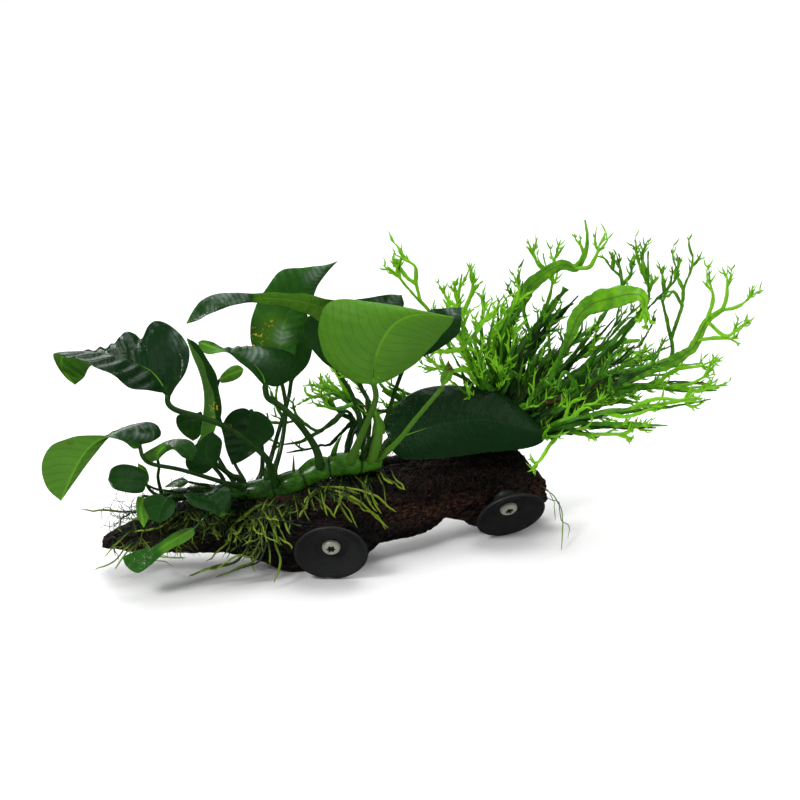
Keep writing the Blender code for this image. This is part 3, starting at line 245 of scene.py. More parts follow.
def smooth(value: Array, low: float, high: float) -> Array:
    """Smoothstep of value from low to high."""
    share = np.clip((np.asarray(value, float) - low) / (high - low), 0.0, 1.0)
    return share * share * (3.0 - 2.0 * share)


def noise(points: Array, seed: int = 0) -> Array:
    """Value noise from 0 to 1: hashed lattice values, eased between the eight nearest.

    Args:
        points: Array (..., 3) in lattice units.
        seed: Picks another pattern.
    Returns:
        Array (...) of noise.
    """
    cell = np.floor(points).astype(np.int64)
    part = points - cell
    part = part * part * (3.0 - 2.0 * part)
    total = np.zeros(points.shape[:-1])
    for corner in range(8):
        step = np.array([corner & 1, corner >> 1 & 1, corner >> 2 & 1])
        mixed = (cell + step) @ np.array([73856093, 19349663, 83492791]) + seed * 2654435761
        mixed = (mixed ^ (mixed >> 13)) * 1274126177 & 0x7FFFFFFF
        mixed = (mixed ^ (mixed >> 16)) * 2246822519 & 0x7FFFFFFF
        weight = np.prod(np.where(step == 1, part, 1.0 - part), axis=-1)
        total += weight * mixed / 0x7FFFFFFF
    return total


def fractal(points: Array, octaves: int, seed: int = 0) -> Array:
    """Sum of octaves of noise, each of half the size and height, scaled to -1...1.

    Args:
        points: Array (..., 3) in lattice units of the widest octave.
        octaves: How many layers of noise.
        seed: Picks another pattern.
    Returns:
        Array (...) from -1 to 1.
    """
    weights = 0.5 ** np.arange(octaves)
    layers = [weight * (2 * noise(points * 2.0 ** k + 17.3 * k, seed + k) - 1)
              for k, weight in enumerate(weights)]
    return sum(layers) / weights.sum()


# ---------------------------------------------------------------- skins

@dataclass
class Skin:
    """Closed tubes and blades gathered into one mesh, with values carried by their vertices."""

    vertices: list[Array] = field(default_factory=list)
    quads: list[Array] = field(default_factory=list)
    triangles: list[Array] = field(default_factory=list)
    values: dict[str, list[Array]] = field(default_factory=dict)
    count: int = 0

    def add(self, rings: Array, **values: Array | float) -> None:
        """Add closed skins over rings, each end shut by a fan round the end ring's middle.

        The rings' order is turned where the signed volume, the sum of area vectors times
        advance, comes out inside out.

        Args:
            rings: Array (n, m, 3), or (k, n, m, 3) for k skins alike, in mm.
            values: For each name, an array that broadcasts to (k, n, m).
        """
        if rings.ndim == 3:
            rings = rings[None]
            values = {key: np.asarray(value)[None] if np.ndim(value) else value
                      for key, value in values.items()}
        kinds, count, around = rings.shape[:3]
        middles = rings.mean(axis=2)
        spokes = rings - middles[:, :, None]
        area = np.cross(spokes, np.roll(spokes, -1, axis=2)).sum(axis=2)
        turned = np.sum((area[:, :-1] + area[:, 1:]) * np.diff(middles, axis=1), axis=(1, 2)) < 0
        grid = np.arange(kinds * count * around).reshape(kinds, count, around)
        grid[turned] = grid[turned][:, :, ::-1]
        first, second = grid[:, :-1], grid[:, 1:]
        quads = np.stack([first, np.roll(first, -1, 2), np.roll(second, -1, 2), second], axis=-1)
        poles = kinds * count * around + np.arange(2 * kinds).reshape(2, kinds, 1)
        start, end = grid[:, 0], grid[:, -1]
        fans = [np.stack([np.roll(start, -1, 1), start, np.broadcast_to(poles[0], start.shape)], -1),
                np.stack([end, np.roll(end, -1, 1), np.broadcast_to(poles[1], end.shape)], -1)]
        self.vertices += [rings.reshape(-1, 3), middles[:, 0], middles[:, -1]]
        self.quads.append(quads.reshape(-1, 4) + self.count)
        self.triangles.append(np.concatenate(fans).reshape(-1, 3) + self.count)
        for name, value in values.items():
            value = np.broadcast_to(np.asarray(value, float), (kinds, count, around))
            self.values.setdefault(name, []).extend(
                (value.ravel(), value[:, 0].mean(1), value[:, -1].mean(1)))
        self.count += kinds * (count * around + 2)

    def mesh(self, name: str) -> bpy.types.Mesh:
        """Mesh in metres of all the skins, with the carried values as attributes.

        Args:
            name: Name of the mesh.
        Returns:
            The mesh.
        """
        quads, triangles = np.concatenate(self.quads), np.concatenate(self.triangles)
        points = to_metres(np.concatenate(self.vertices))
        corners = np.concatenate([quads.ravel(), triangles.ravel()])
        starts = np.concatenate([np.arange(len(quads)) * 4, quads.size + np.arange(len(triangles)) * 3])
        mesh = bpy.data.meshes.new(name)
        mesh.vertices.add(len(points))
        mesh.vertices.foreach_set("co", points.ravel())
        mesh.loops.add(len(corners))
        mesh.loops.foreach_set("vertex_index", corners)
        mesh.polygons.add(len(starts))
        mesh.polygons.foreach_set("loop_start", starts)
        mesh.polygons.foreach_set("use_smooth", np.ones(len(starts), bool))
        mesh.update(calc_edges=True)
        for key, parts in self.values.items():
            layer = mesh.attributes.new(key, "FLOAT", "POINT")
            layer.data.foreach_set("value", np.concatenate(parts).astype(np.float32))
        return mesh


def add_object(name: str, data: bpy.types.ID) -> bpy.types.Object:
    """New object of the scene that shows the data.

    Args:
        name: Name of the object.
        data: Mesh, light or camera.
    Returns:
        The object.
    """
    made = bpy.data.objects.new(name, data)
    bpy.context.scene.collection.objects.link(made)
    return made


def add_piece(mesh: bpy.types.Mesh, material: Material, node: str) -> None:
    """Make a mesh a piece that rides on the root body and stands for a CAD node.

    Args:
        mesh: Mesh in metres, whose name is the piece's.
        material: Finish of the whole piece.
        node: CAD node that the piece replaces.
    """
    mesh.materials.append(material)
    piece = add_object(mesh.name, mesh)
    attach(piece, "root")
    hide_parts(node)
    log.info("%s: %d triangles", mesh.name, len(mesh.loops) - 2 * len(mesh.polygons))


def tubes(lines: Array, radii: Array, around: int, flat: float = 1.0) -> Array:
    """Rings round routes: middle + radius (cos a side + flat sin a face), side across the view.

    Args:
        lines: Array (k, n, 3) of routes in mm.
        radii: Array that broadcasts to (k, n), half widths in mm.
        around: Points in a ring.
        flat: Thickness as a share of the width.
    Returns:
        Array (k, n, around, 3).
    """
    side, face = sides(directions(lines))
    angle = round_angles(around)[:, None]
    spokes = np.cos(angle) * side[..., None, :] + flat * np.sin(angle) * face[..., None, :]
    return lines[..., None, :] + np.broadcast_to(radii, lines.shape[:-1])[..., None, None] * spokes


# ---------------------------------------------------------------- the log's surface

def wood_section(x: Array) -> tuple[Array, ...]:
    """Centre y and z, half depth and half height of the log at x, all in mm."""
    table = np.array(WOOD_SECTIONS).T
    return tuple(np.interp(x, table[0], row) for row in table[1:])


def wood_ring(x: Array, angles: Array) -> Array:
    """Bark places at x and angle: a rounded square with long ridges, cut flat by the ground.

    The half depth and half height, times a swell of 1 + sum of rise sin(waves angle + turns x
    / 50 + start), multiply the cosine and sine raised to 2 / WOOD_SQUARENESS.

    Args:
        x: Array of places along the log in mm.
        angles: Array of the same shape, radians from +Y towards +Z.
    Returns:
        Array (..., 3) in mm.
    """
    y, z, depth, height = wood_section(x)
    swell = 1.0 + sum(rise * np.sin(waves * angles + turns * x * 0.02 + start)
                      for waves, turns, start, rise in WOOD_RIDGES)
    power = 2.0 / WOOD_SQUARENESS
    cos, sin = np.cos(angles), np.sin(angles)
    ring_y = y + depth * swell * np.sign(cos) * np.abs(cos) ** power
    ring_z = z + height * swell * np.sign(sin) * np.abs(sin) ** power
    return np.stack([x + 0 * angles, ring_y, np.maximum(ring_z, 0.0)], axis=-1)


def wood_distance(points: Array) -> Array:
    """How far points in mm stand off the bark, measured in the log's section.

    Args:
        points: Array (..., 3) in mm.
    Returns:
        Array (...) in mm, below 0 inside the log.
    """
    y, z, depth, height = wood_section(points[..., 0])
    dy, dz = points[..., 1] - y, points[..., 2] - z
    ring = wood_ring(points[..., 0], np.arctan2(dz / height, dy / depth))
    return np.hypot(dy, dz) - np.hypot(ring[..., 1] - y, ring[..., 2] - z)


def on_wood(route: Array) -> Array:
    """Places over the front of the bark, found by halving the depth between it and the eye.

    Args:
        route: Array (..., 3) of column, row and height off the bark in mm.
    Returns:
        Array (..., 3) in mm.
    """
    pixel, lift = route[..., :2], route[..., 2]
    guess = place(np.concatenate([pixel, 0 * pixel[..., :1]], -1))
    near, far = np.full(lift.shape, NEAREST), wood_section(guess[..., 0])[0]
    past = wood_distance(place(np.concatenate([pixel, far[..., None]], -1))) > lift
    near = np.where(past, far, near)
    for _ in range(HALVINGS):
        middle = (near + far) / 2
        outside = wood_distance(place(np.concatenate([pixel, middle[..., None]], -1))) > lift
        near, far = np.where(outside, middle, near), np.where(outside, far, middle)
    return place(np.concatenate([pixel, near[..., None]], -1))


def anubias_rhizome() -> Array:
    """Points and radii (n, 4) of the anubias rhizome, lying on the bark along its Spots."""
    table = np.array(RHIZOME_ROUTE)
    return np.column_stack([on_wood(table + (0, 0, RHIZOME_LIFT)), table[:, 2]])


def fern_rhizome() -> Array:
    """Points and radii (n, 4) of the fern rhizome: bark places pushed out by its radius.

    Returns:
        Array (n, 4) in mm.
    """
    table = np.array(FERN_RHIZOME_ROUTE)
    y, z, _, _ = wood_section(table[:, 0])
    bark = wood_ring(table[:, 0], np.radians(table[:, 1]))
    outward = unit(bark - np.column_stack([table[:, 0], y, z]))
    return np.column_stack([bark + outward * (table[:, 2:] + RHIZOME_LIFT), table[:, 2]])


# ---------------------------------------------------------------- finishes

@dataclass
class Graph:
    """A node tree with short calls that place nodes and join them."""

    tree: bpy.types.NodeTree

    def node(self, kind: str, inputs: dict[str | int, object], **settings: object) -> bpy.types.Node:
        """Place a node, give it its settings, and set or join its inputs.

        Args:
            kind: Type name of the node without its ShaderNode prefix.
            inputs: Values or sockets by the name or number of the input.
            settings: Properties of the node, such as its operation.
        Returns:
            The node.
        """
        made = self.tree.nodes.new("ShaderNode" + kind)
        for key, value in settings.items():
            setattr(made, key, value)
        for key, value in inputs.items():
            self.put(made.inputs[key], value)
        return made

    def put(self, socket: Socket, value: object) -> None:
        """Join a socket to another, or set its value.

        Args:
            socket: Input of a node or of a group's result.
            value: Output of another node, number, or tuple of numbers.
        """
        if isinstance(value, Socket):
            self.tree.links.new(value, socket)
        elif isinstance(value, tuple) and socket.type == "RGBA":
            socket.default_value = (*value, 1.0)
        else:
            socket.default_value = value

    def dress(self, **inputs: object) -> None:
        """Set or join inputs of the tree's Principled shader.

        Args:
            inputs: Values or sockets by input name, with _ for each space.
        """
        shader = self.tree.nodes["Principled BSDF"]
        for key, value in inputs.items():
            self.put(shader.inputs[key.replace("_", " ")], value)

    def value(self, name: str) -> Socket:
        """Value that the mesh carries under a name."""
        return self.node("Attribute", {}, attribute_name=name).outputs["Fac"]

    def maths(self, operation: str, *terms: object) -> Socket:
        """Result of a Math node on up to three terms."""
        return self.node("Math", dict(enumerate(terms)), operation=operation).outputs[0]

    def times(self, first: object, second: object) -> Socket:
        """Product of two numbers."""
        return self.maths("MULTIPLY", first, second)

    def fit(self, value: object, scale: object, start: object) -> Socket:
        """Number start + scale x value."""
        return self.maths("MULTIPLY_ADD", value, scale, start)

    def rest(self, value: object) -> Socket:
        """Number 1 - value."""
        return self.maths("SUBTRACT", 1.0, value)

    def mix(self, share: object, first: object, second: object) -> Socket:
        """Colour that goes from first to second as share goes from 0 to 1."""
        return self.node("Mix", {0: share, 6: first, 7: second}, data_type="RGBA").outputs[2]

    def blend(self, share: object, first: object, second: object) -> Socket:
        """Number that goes from first to second as share goes from 0 to 1."""
        return self.node("Mix", {0: share, 2: first, 3: second}).outputs[0]

    def step(self, value: object, low: float, high: float) -> Socket:
        """Number that goes smoothly from 0 to 1 as value goes from low to high."""
        return self.node("MapRange", {0: value, 1: low, 2: high}, interpolation_type="SMOOTHSTEP").outputs[0]

    def mottle(self, size: float, detail: float = 3.0, contrast: float = 2.0,
               stretch: Colour = (1.0, 1.0, 1.0)) -> Socket:
        """Mask of the shared mottle group, with spots of the given size in mm."""
        inputs = {"Size": size, "Detail": detail, "Contrast": contrast, "Stretch": stretch}
        return self.node("Group", inputs, node_tree=mottle_group()).outputs["Mask"]

    def bump(self, height: object, distance: float, strength: float = 1.0) -> Socket:
        """Normal bent by a height of up to distance in mm."""
        inputs = {"Height": height, "Distance": distance * MM, "Strength": strength}
        return self.node("Bump", inputs).outputs["Normal"]


def mottle_group() -> bpy.types.NodeTree:
    """Group of soft mottling: fractal noise of an object place over a size in mm.

    Returns:
        The group; Mask is 0.5 + Contrast (noise - 0.5), held between 0 and 1.
    """
    made = bpy.data.node_groups.get("mottle")
    if made:
        return made
    made = bpy.data.node_groups.new("mottle", "ShaderNodeTree")
    for name, kind, start in (("Size", "Float", 5.0), ("Detail", "Float", 3.0), ("Contrast", "Float", 2.0),
                              ("Stretch", "Vector", (1, 1, 1))):
        made.interface.new_socket(name, in_out="INPUT", socket_type="NodeSocket" + kind).default_value = start
    made.interface.new_socket("Mask", in_out="OUTPUT", socket_type="NodeSocketFloat")
    graph = Graph(made)
    given = made.nodes.new("NodeGroupInput").outputs
    result = made.nodes.new("NodeGroupOutput").inputs
    places = graph.node("TexCoord", {}).outputs["Object"]
    spot = graph.node("VectorMath", {0: places, 1: given["Stretch"]}, operation="MULTIPLY").outputs[0]
    scale = graph.maths("DIVIDE", 1.0 / MM, given["Size"])
    pattern = graph.node("TexNoise", {"Vector": spot, "Detail": given["Detail"], "Scale": scale})
    spread = graph.fit(graph.maths("SUBTRACT", pattern.outputs[0], 0.5), given["Contrast"], 0.5)
    graph.put(result["Mask"], graph.maths("MINIMUM", graph.maths("MAXIMUM", spread, 0.0), 1.0))
    return made


def start_finish(name: str, **settings: object) -> tuple[Material, Graph]:
    """A material and its graph, with fixed sockets of its Principled shader set.

    Args:
        name: Name of the material.
        settings: Values by socket name of the shader, with _ for each space.
    Returns:
        The material and its graph.
    """
    made = bpy.data.materials.new(name)
    made.use_nodes = True
    graph = Graph(made.node_tree)
    graph.dress(**settings)
    return made, graph


@dataclass(frozen=True)
class LeafFinish:
    """Anubias leaf: wet dark top, paler satin underside with side veins, midrib, old spots, and a painted
    sheen on some tops.
    """

    top: Colour = (0.0045, 0.0240, 0.0050)
    top_light: Colour = (0.032, 0.140, 0.014)
    under: Colour = (0.036, 0.155, 0.002)
    under_light: Colour = (0.078, 0.235, 0.003)
    under_vein: Colour = (0.034, 0.115, 0.002)
    keel: Colour = (0.130, 0.360, 0.006)
    rib: Colour = (0.050, 0.150, 0.012)
    stripe: Colour = (0.055, 0.200, 0.022)
    stem: Colour = (0.003, 0.015, 0.003)
    stem_light: Colour = (0.014, 0.048, 0.007)
    stem_pale: Colour = (0.060, 0.160, 0.012)
    yellow: Colour = (0.75, 0.50, 0.02)
    brown: Colour = (0.055, 0.022, 0.005)
    # grey-green of the painted sheen: a reflection painted into the colour of leaf tops
    painted_sheen: Colour = (0.250, 0.330, 0.270)
    vein_spacing: float = 5.2      # mm between main side veins
    fine_spacing: float = 1.3      # mm between fine ones

    def build(self) -> Material:
        """The leaf material, driven by what the blade carries: under, phase, rib, tone, stalk and marks.

        Returns:
            The material.
        """
        made, graph = start_finish("anubias_leaf", Specular_IOR_Level=0.31)
        under, tone = graph.value("under"), graph.value("tone")
        main = self.vein_lines(graph, self.vein_spacing, 0.90)
        fine = self.vein_lines(graph, self.fine_spacing, 0.5)
        blotch = graph.mottle(11.0, 4.0, 1.8)
        top = graph.mix(graph.times(tone, graph.fit(blotch, 0.7, 0.65)), self.top, self.top_light)
        bright = graph.times(graph.step(tone, 0.5, 1.0), 0.45)
        stripe = graph.times(self.vein_lines(graph, self.vein_spacing, 0.1), bright)
        top = graph.mix(stripe, top, self.stripe)
        top = graph.mix(graph.fit(tone, 0.10, 0.01), top, graph.mix(main, top, self.rib))
        below = graph.mix(graph.blend(0.6, blotch, tone), self.under, self.under_light)
        below = graph.mix(graph.times(main, 0.35), below, self.under_vein)
        below = graph.mix(graph.times(fine, 0.22), below, self.under_vein)
        midrib = graph.rest(graph.step(graph.value("rib"), 0.3, 1.1))
        top = graph.mix(graph.times(midrib, graph.fit(tone, 0.2, 0.05)), top, self.rib)
        below = graph.mix(graph.times(midrib, 0.6), below, self.keel)
        colour = graph.mix(under, top, below)
        stem = graph.mix(graph.mottle(5.0, 3.0, 2.0, (1.0, 1.0, 0.3)), self.stem, self.stem_light)
        colour = graph.mix(graph.value("stalk"), colour, graph.mix(tone, stem, self.stem_pale))
        specks = graph.step(graph.mottle(1.8, 2.0, 3.0), 0.78, 0.88)
        colour = graph.mix(graph.times(graph.value("yellowed"), specks), colour, self.yellow)
        blots = graph.step(graph.mottle(1.8, 3.0, 2.0), 0.25, 0.5)
        colour = graph.mix(graph.times(graph.value("browned"), blots), colour, self.brown)
        # Painted sheen: grey-green streaks along the fine veins, in mottled patches, laid into the colour
        # where the blade's sheen marks are.
        dust_and_sheen = graph.fit(self.vein_lines(graph, self.fine_spacing * 2.2, 0.1), 0.30, 0.30)
        dust_and_sheen = graph.times(dust_and_sheen, graph.step(graph.mottle(8.0, 3.0, 1.8), 0.20, 0.75))
        colour = graph.mix(graph.times(graph.value("painted_sheen"), dust_and_sheen), colour, self.painted_sheen)
        dull = graph.step(graph.maths("SUBTRACT", under, graph.value("stalk")), 0.0, 1.0)
        rough = graph.fit(graph.mottle(2.2, 4.0, 1.5), 0.12, graph.blend(dull, 0.14, 0.50))
        height = graph.fit(main, -0.4, graph.times(fine, -0.2))
        height = graph.fit(graph.mottle(3.6, 2.0, 1.2), 2.6, height)
        height = graph.fit(graph.mottle(0.9, 3.0, 1.5), 0.2, height)
        graph.dress(Base_Color=colour, Roughness=rough, Normal=graph.bump(height, 0.22, 0.8))
        return made

    def vein_lines(self, graph: Graph, spacing: float, sharp: float) -> Socket:
        """Lines of even spacing in the blade's phase: a cosine, kept above `sharp`."""
        turn = graph.times(graph.value("phase"), 2 * math.pi / spacing)
        return graph.step(graph.fit(graph.maths("COSINE", turn), 0.5, 0.5), sharp, 1.0)


@dataclass(frozen=True)
class FernFinish:
    """Lace fern: dark at the root, partly from painted shade, bright towards the tips, with a brown midrib
    and dead tips.
    """

    deep: Colour = (0.006, 0.028, 0.003)
    mid: Colour = (0.042, 0.185, 0.004)
    bright: Colour = (0.190, 0.520, 0.008)
    rib: Colour = (0.050, 0.048, 0.008)
    dead: Colour = (0.060, 0.020, 0.007)

    def build(self) -> Material:
        """The fern material, driven by tone, rib and dead.

        Returns:
            The material.
        """
        made, graph = start_finish("fern_frond", Specular_IOR_Level=0.25)
        tone = graph.value("tone")
        lift = graph.fit(graph.maths("SUBTRACT", graph.mottle(4.0, 4.0, 1.6), 0.5), 0.35, tone)
        colour = graph.mix(graph.step(lift, 0.0, 0.5), self.deep, self.mid)
        colour = graph.mix(graph.step(lift, 0.4, 1.0), colour, self.bright)
        line = graph.rest(graph.step(graph.value("rib"), 0.25, 0.6))
        colour = graph.mix(graph.times(line, 0.5), colour, self.rib)
        colour = graph.mix(graph.value("dead"), colour, self.dead)
        graph.dress(Base_Color=colour, Roughness=graph.blend(graph.mottle(1.5), 0.30, 0.46),
                    Normal=graph.bump(graph.mottle(1.1, 4.0, 1.8), 0.15, 0.6))
        return made


@dataclass(frozen=True)
class StemFinish:
    """Rhizome or root skin: two tones mottled together, darkened in the ring scars."""

    name: str
    dark: Colour
    light: Colour
    scar: Colour
    roughness: float = 0.3
    relief: float = 0.15           # mm

    def build(self) -> Material:
        """The stem material, driven by tone and scar.

        Returns:
            The material.
        """
        made, graph = start_finish(self.name, Specular_IOR_Level=0.4)
        blotch = graph.maths("SUBTRACT", graph.mottle(3.0, 4.0, 1.6), 0.5)
        lift = graph.fit(blotch, 0.4, graph.value("tone"))
        colour = graph.mix(graph.step(lift, 0.0, 1.0), self.dark, self.light)
        colour = graph.mix(graph.value("scar"), colour, self.scar)
        graph.dress(Base_Color=colour,
                    Roughness=graph.blend(graph.mottle(1.3), self.roughness, self.roughness + 0.2),
                    Normal=graph.bump(graph.mottle(0.8, 4.0, 2.0), self.relief, 0.7))
        return made


@dataclass(frozen=True)
class WoodFinish:
    """Soaked driftwood: near-black fibres with reddish grain where the bark has worn off."""

    dark: Colour = (0.0035, 0.0022, 0.0016)
    mid: Colour = (0.016, 0.0085, 0.0055)
    red: Colour = (0.095, 0.030, 0.010)

    def build(self) -> Material:
        """The wood material: grain noise drawn out along the log, worn by the carried value.

        Returns:
            The material.
        """
        made, graph = start_finish("driftwood", Specular_IOR_Level=0.35)
        grain = graph.mottle(1.2, 6.0, 2.4, (0.12, 1.0, 1.0))
        crumble = graph.mottle(1.6, 8.0, 2.6, (0.6, 1.0, 1.0))
        colour = graph.mix(graph.times(grain, crumble), self.dark, self.mid)
        worn = graph.times(graph.value("worn"), graph.step(grain, 0.25, 0.9))
        colour = graph.mix(worn, colour, self.red)
        rough = graph.blend(crumble, 0.42, 0.75)
        height = graph.fit(grain, 0.8, graph.times(crumble, 1.1))
        graph.dress(Base_Color=colour, Roughness=rough, Normal=graph.bump(height, 0.9, 0.9))
        return made


@dataclass(frozen=True)
class RubberFinish:
    """Charcoal suction-cup rubber: smooth satin skin with faint dust specks."""

    colour: Colour = (0.0130, 0.0135, 0.0140)
    dust: Colour = (0.055, 0.056, 0.058)

    def build(self) -> Material:
        """The rubber material, with dust specks and a soft sheen that varies in wide patches.

        Returns:
            The material.
        """
        made, graph = start_finish("suction_cup_rubber", Specular_IOR_Level=0.5)
        specks = graph.step(graph.mottle(0.7, 2.0, 3.0), 0.93, 1.0)
        dust_and_sheen = graph.mottle(12.0, 3.0, 1.5)
        colour = graph.mix(graph.times(dust_and_sheen, 0.12), self.colour, self.dust)
        colour = graph.mix(graph.times(specks, 0.5), colour, self.dust)
        graph.dress(Base_Color=colour, Roughness=graph.blend(dust_and_sheen, 0.40, 0.50),
                    Normal=graph.bump(graph.mottle(0.35, 2.0, 1.5), 0.02, 0.5))
        return made


@dataclass(frozen=True)
class SteelFinish:
    """Stainless screw: bright nickel grey, finely scuffed, with painted shade darkening the recess and the
    shank.
    """

    colour: Colour = (0.58, 0.57, 0.47)
    scuffed: Colour = (0.40, 0.39, 0.36)
    # near-black of the painted shade in the recess and on the shank
    grime: Colour = (0.020, 0.018, 0.016)

    def build(self) -> Material:
        """The steel material: metal dulled by fine scuffs, and darkened and roughened by painted shade where
        the mesh says so.

        Returns:
            The material.
        """
        made, graph = start_finish("screw_steel", Metallic=0.45)
        scuffs = graph.mottle(0.5, 4.0, 2.0)
        colour = graph.mix(graph.times(scuffs, 0.15), self.colour, self.scuffed)
        colour = graph.mix(graph.value("grime"), colour, self.grime)
        rough = graph.fit(graph.value("grime"), 0.5, graph.blend(scuffs, 0.34, 0.48))
        graph.dress(Base_Color=colour, Roughness=rough, Normal=graph.bump(scuffs, 0.01, 0.5))
        return made


# ---------------------------------------------------------------- driftwood

@dataclass
class Driftwood:
    """The log: grain, cracks and crumbled ends cut into the sections, with seats for the cups."""

    fibres: tuple[Fringe, ...]
    along_count: int = 390
    around_count: int = 200
    grain_depth: float = 0.9       # mm
    crumb_depth: float = 0.8       # mm
    crack_depth: float = 1.9       # mm
    lump_depth: float = 1.2        # mm
    bed: float = 1.2               # mm that the bark is raised under the rhizome
    broken_length: float = 16.0    # mm over which the right end breaks up
    broken_depth: float = 5.0      # mm
    # Worn patches: column, row, half width and half height in pixels.
    worn: Rows = (
        (285, 505, 22, 9), (415, 510, 42, 12), (540, 490, 14, 16), (470, 500, 20, 10), (340, 500, 18, 8),
        (165, 545, 30, 6),
    )
    # Mat of fibres on the crest: x and height in mm.
    mat: Rows = (
        (-146, 0.0), (-130, 3.2), (-78, 3.2), (-62, 2.0), (-30, 2.6), (-5, 2.2), (20, 2.4), (34, 4.0),
        (48, 2.4), (64, 2.2), (80, 0.0),
    )

    def bark(self) -> tuple[Array, Array]:
        """Grid of the bark and its worn patches.

        The section ring is averaged over 5 mm along the log. Grain (noise drawn out 8 times
        along X), crumbs (even noise), lumps (wide noise) and cracks (the folded zero lines of
        noise) move it inwards from the section's middle. Below the rhizome, and under the mat of
        fibres on the crest, it is moved out by 1 to 4 mm instead. The right end breaks up.

        Returns:
            Rings (n, m, 3) in mm and the worn mask (n, m).
        """
        ends = WOOD_SECTIONS[0][0], WOOD_SECTIONS[-1][0]
        x = np.linspace(ends[0], ends[1], self.along_count)[:, None]
        angles = round_angles(self.around_count)[None]
        near = [np.clip(x + shift, *ends) for shift in (-2.4, -1.2, 0.0, 1.2, 2.4)]
        rings = sum(wood_ring(part, angles) for part in near) / len(near)
        rings[..., 0] = x
        y, z, _, _ = wood_section(x)
        outward = unit(rings - np.stack([x, y, z], -1))
        grain = fractal(rings * (0.12, 1.0, 1.0) / 1.9, 4, 3)
        crumbs = fractal(rings / (3.0, 2.0, 2.0), 4, 11)
        folds = 1.0 - np.abs(fractal(rings / (26.0, 5.0, 5.0), 3, 29)) * 5.0
        cracks = smooth(folds, 0.3, 1.0)
        lumps = fractal(rings / (22.0, 9.0, 9.0), 2, 41)
        move = (self.grain_depth * (grain - 0.5) + self.crumb_depth * (crumbs - 0.3)
                - self.crack_depth * cracks + self.lump_depth * (lumps - 0.5))
        stem = along(anubias_rhizome(), np.linspace(0, 1, 90))
        clear = np.stack([np.linalg.norm(rings - part[:3], axis=-1) - part[3] for part in stem]).min(0)
        move = np.minimum(move, 0.5)
        move = move + (self.bed - move) * smooth(clear, 6.0, 2.0)
        mat = np.interp(x, *np.array(self.mat).T) * smooth(outward[..., 2], 0.35, 0.8)
        move = move + mat * (0.6 + 0.8 * crumbs)
        rings = rings + outward * move[..., None] * smooth(rings[..., 2:], 0.0, 1.5)
        broken = smooth(x, ends[1] - self.broken_length, ends[1])
        rings[..., 0] -= broken * self.broken_depth * (fractal(rings / 3.5, 4, 57) + 0.6) * (1 + lumps)
        rings[..., 2] = np.maximum(rings[..., 2], 0.0)
        for cup in CUPS.values():
            rings = self.cut_seat(rings, cup)
        seen = seen_at(rings)
        patches = sum(np.exp(-((seen[..., 0] - column) / wide) ** 2 - ((seen[..., 1] - row) / high) ** 2)
                      for column, row, wide, high in self.worn)
        return rings, np.clip(patches + 0.25 * (lumps + 0.3), 0.0, 1.0)

    def cut_seat(self, rings: Array, cup: dict) -> Array:
        """Rings pressed back to the plane of a cup's seat, within the seat's radius.

        Args:
            rings: Array (n, m, 3) in mm.
            cup: Centre and axis of the cup.
        Returns:
            Array (n, m, 3) in mm.
        """
        axis = np.array(cup["axis"])
        reach = rings - (np.array(cup["centre"]) - axis * (CUP_HEIGHT + GAP))
        height = reach @ axis
        radial = np.linalg.norm(reach - height[..., None] * axis, axis=-1)
        pressed = (radial < CUP_SEAT_RADIUS) & (height > 0) & (height < CUP_SEAT_REACH)
        return rings - np.where(pressed, height, 0.0)[..., None] * axis

    def build(self, finish: Material) -> None:
        """Make the log and the fibres on its crest.

        Args:
            finish: Material of the wood.
        """
        rings, worn = self.bark()
        skin = Skin()
        skin.add(rings, worn=worn)
        draws = np.random.default_rng(WOOD_SEED)
        for fringe in self.fibres:
            radius = draws.uniform(*fringe.radius, fringe.count)[:, None] * np.ones(FIBRE_POINTS)
            shade = draws.uniform(*fringe.tone, fringe.count)[:, None, None]
            skin.add(tubes(fringe.lines(draws, FIBRE_POINTS), radius, 3), worn=shade)
        add_piece(skin.mesh("driftwood_bark"), finish, "driftwood")


# ---------------------------------------------------------------- suction cups and screws

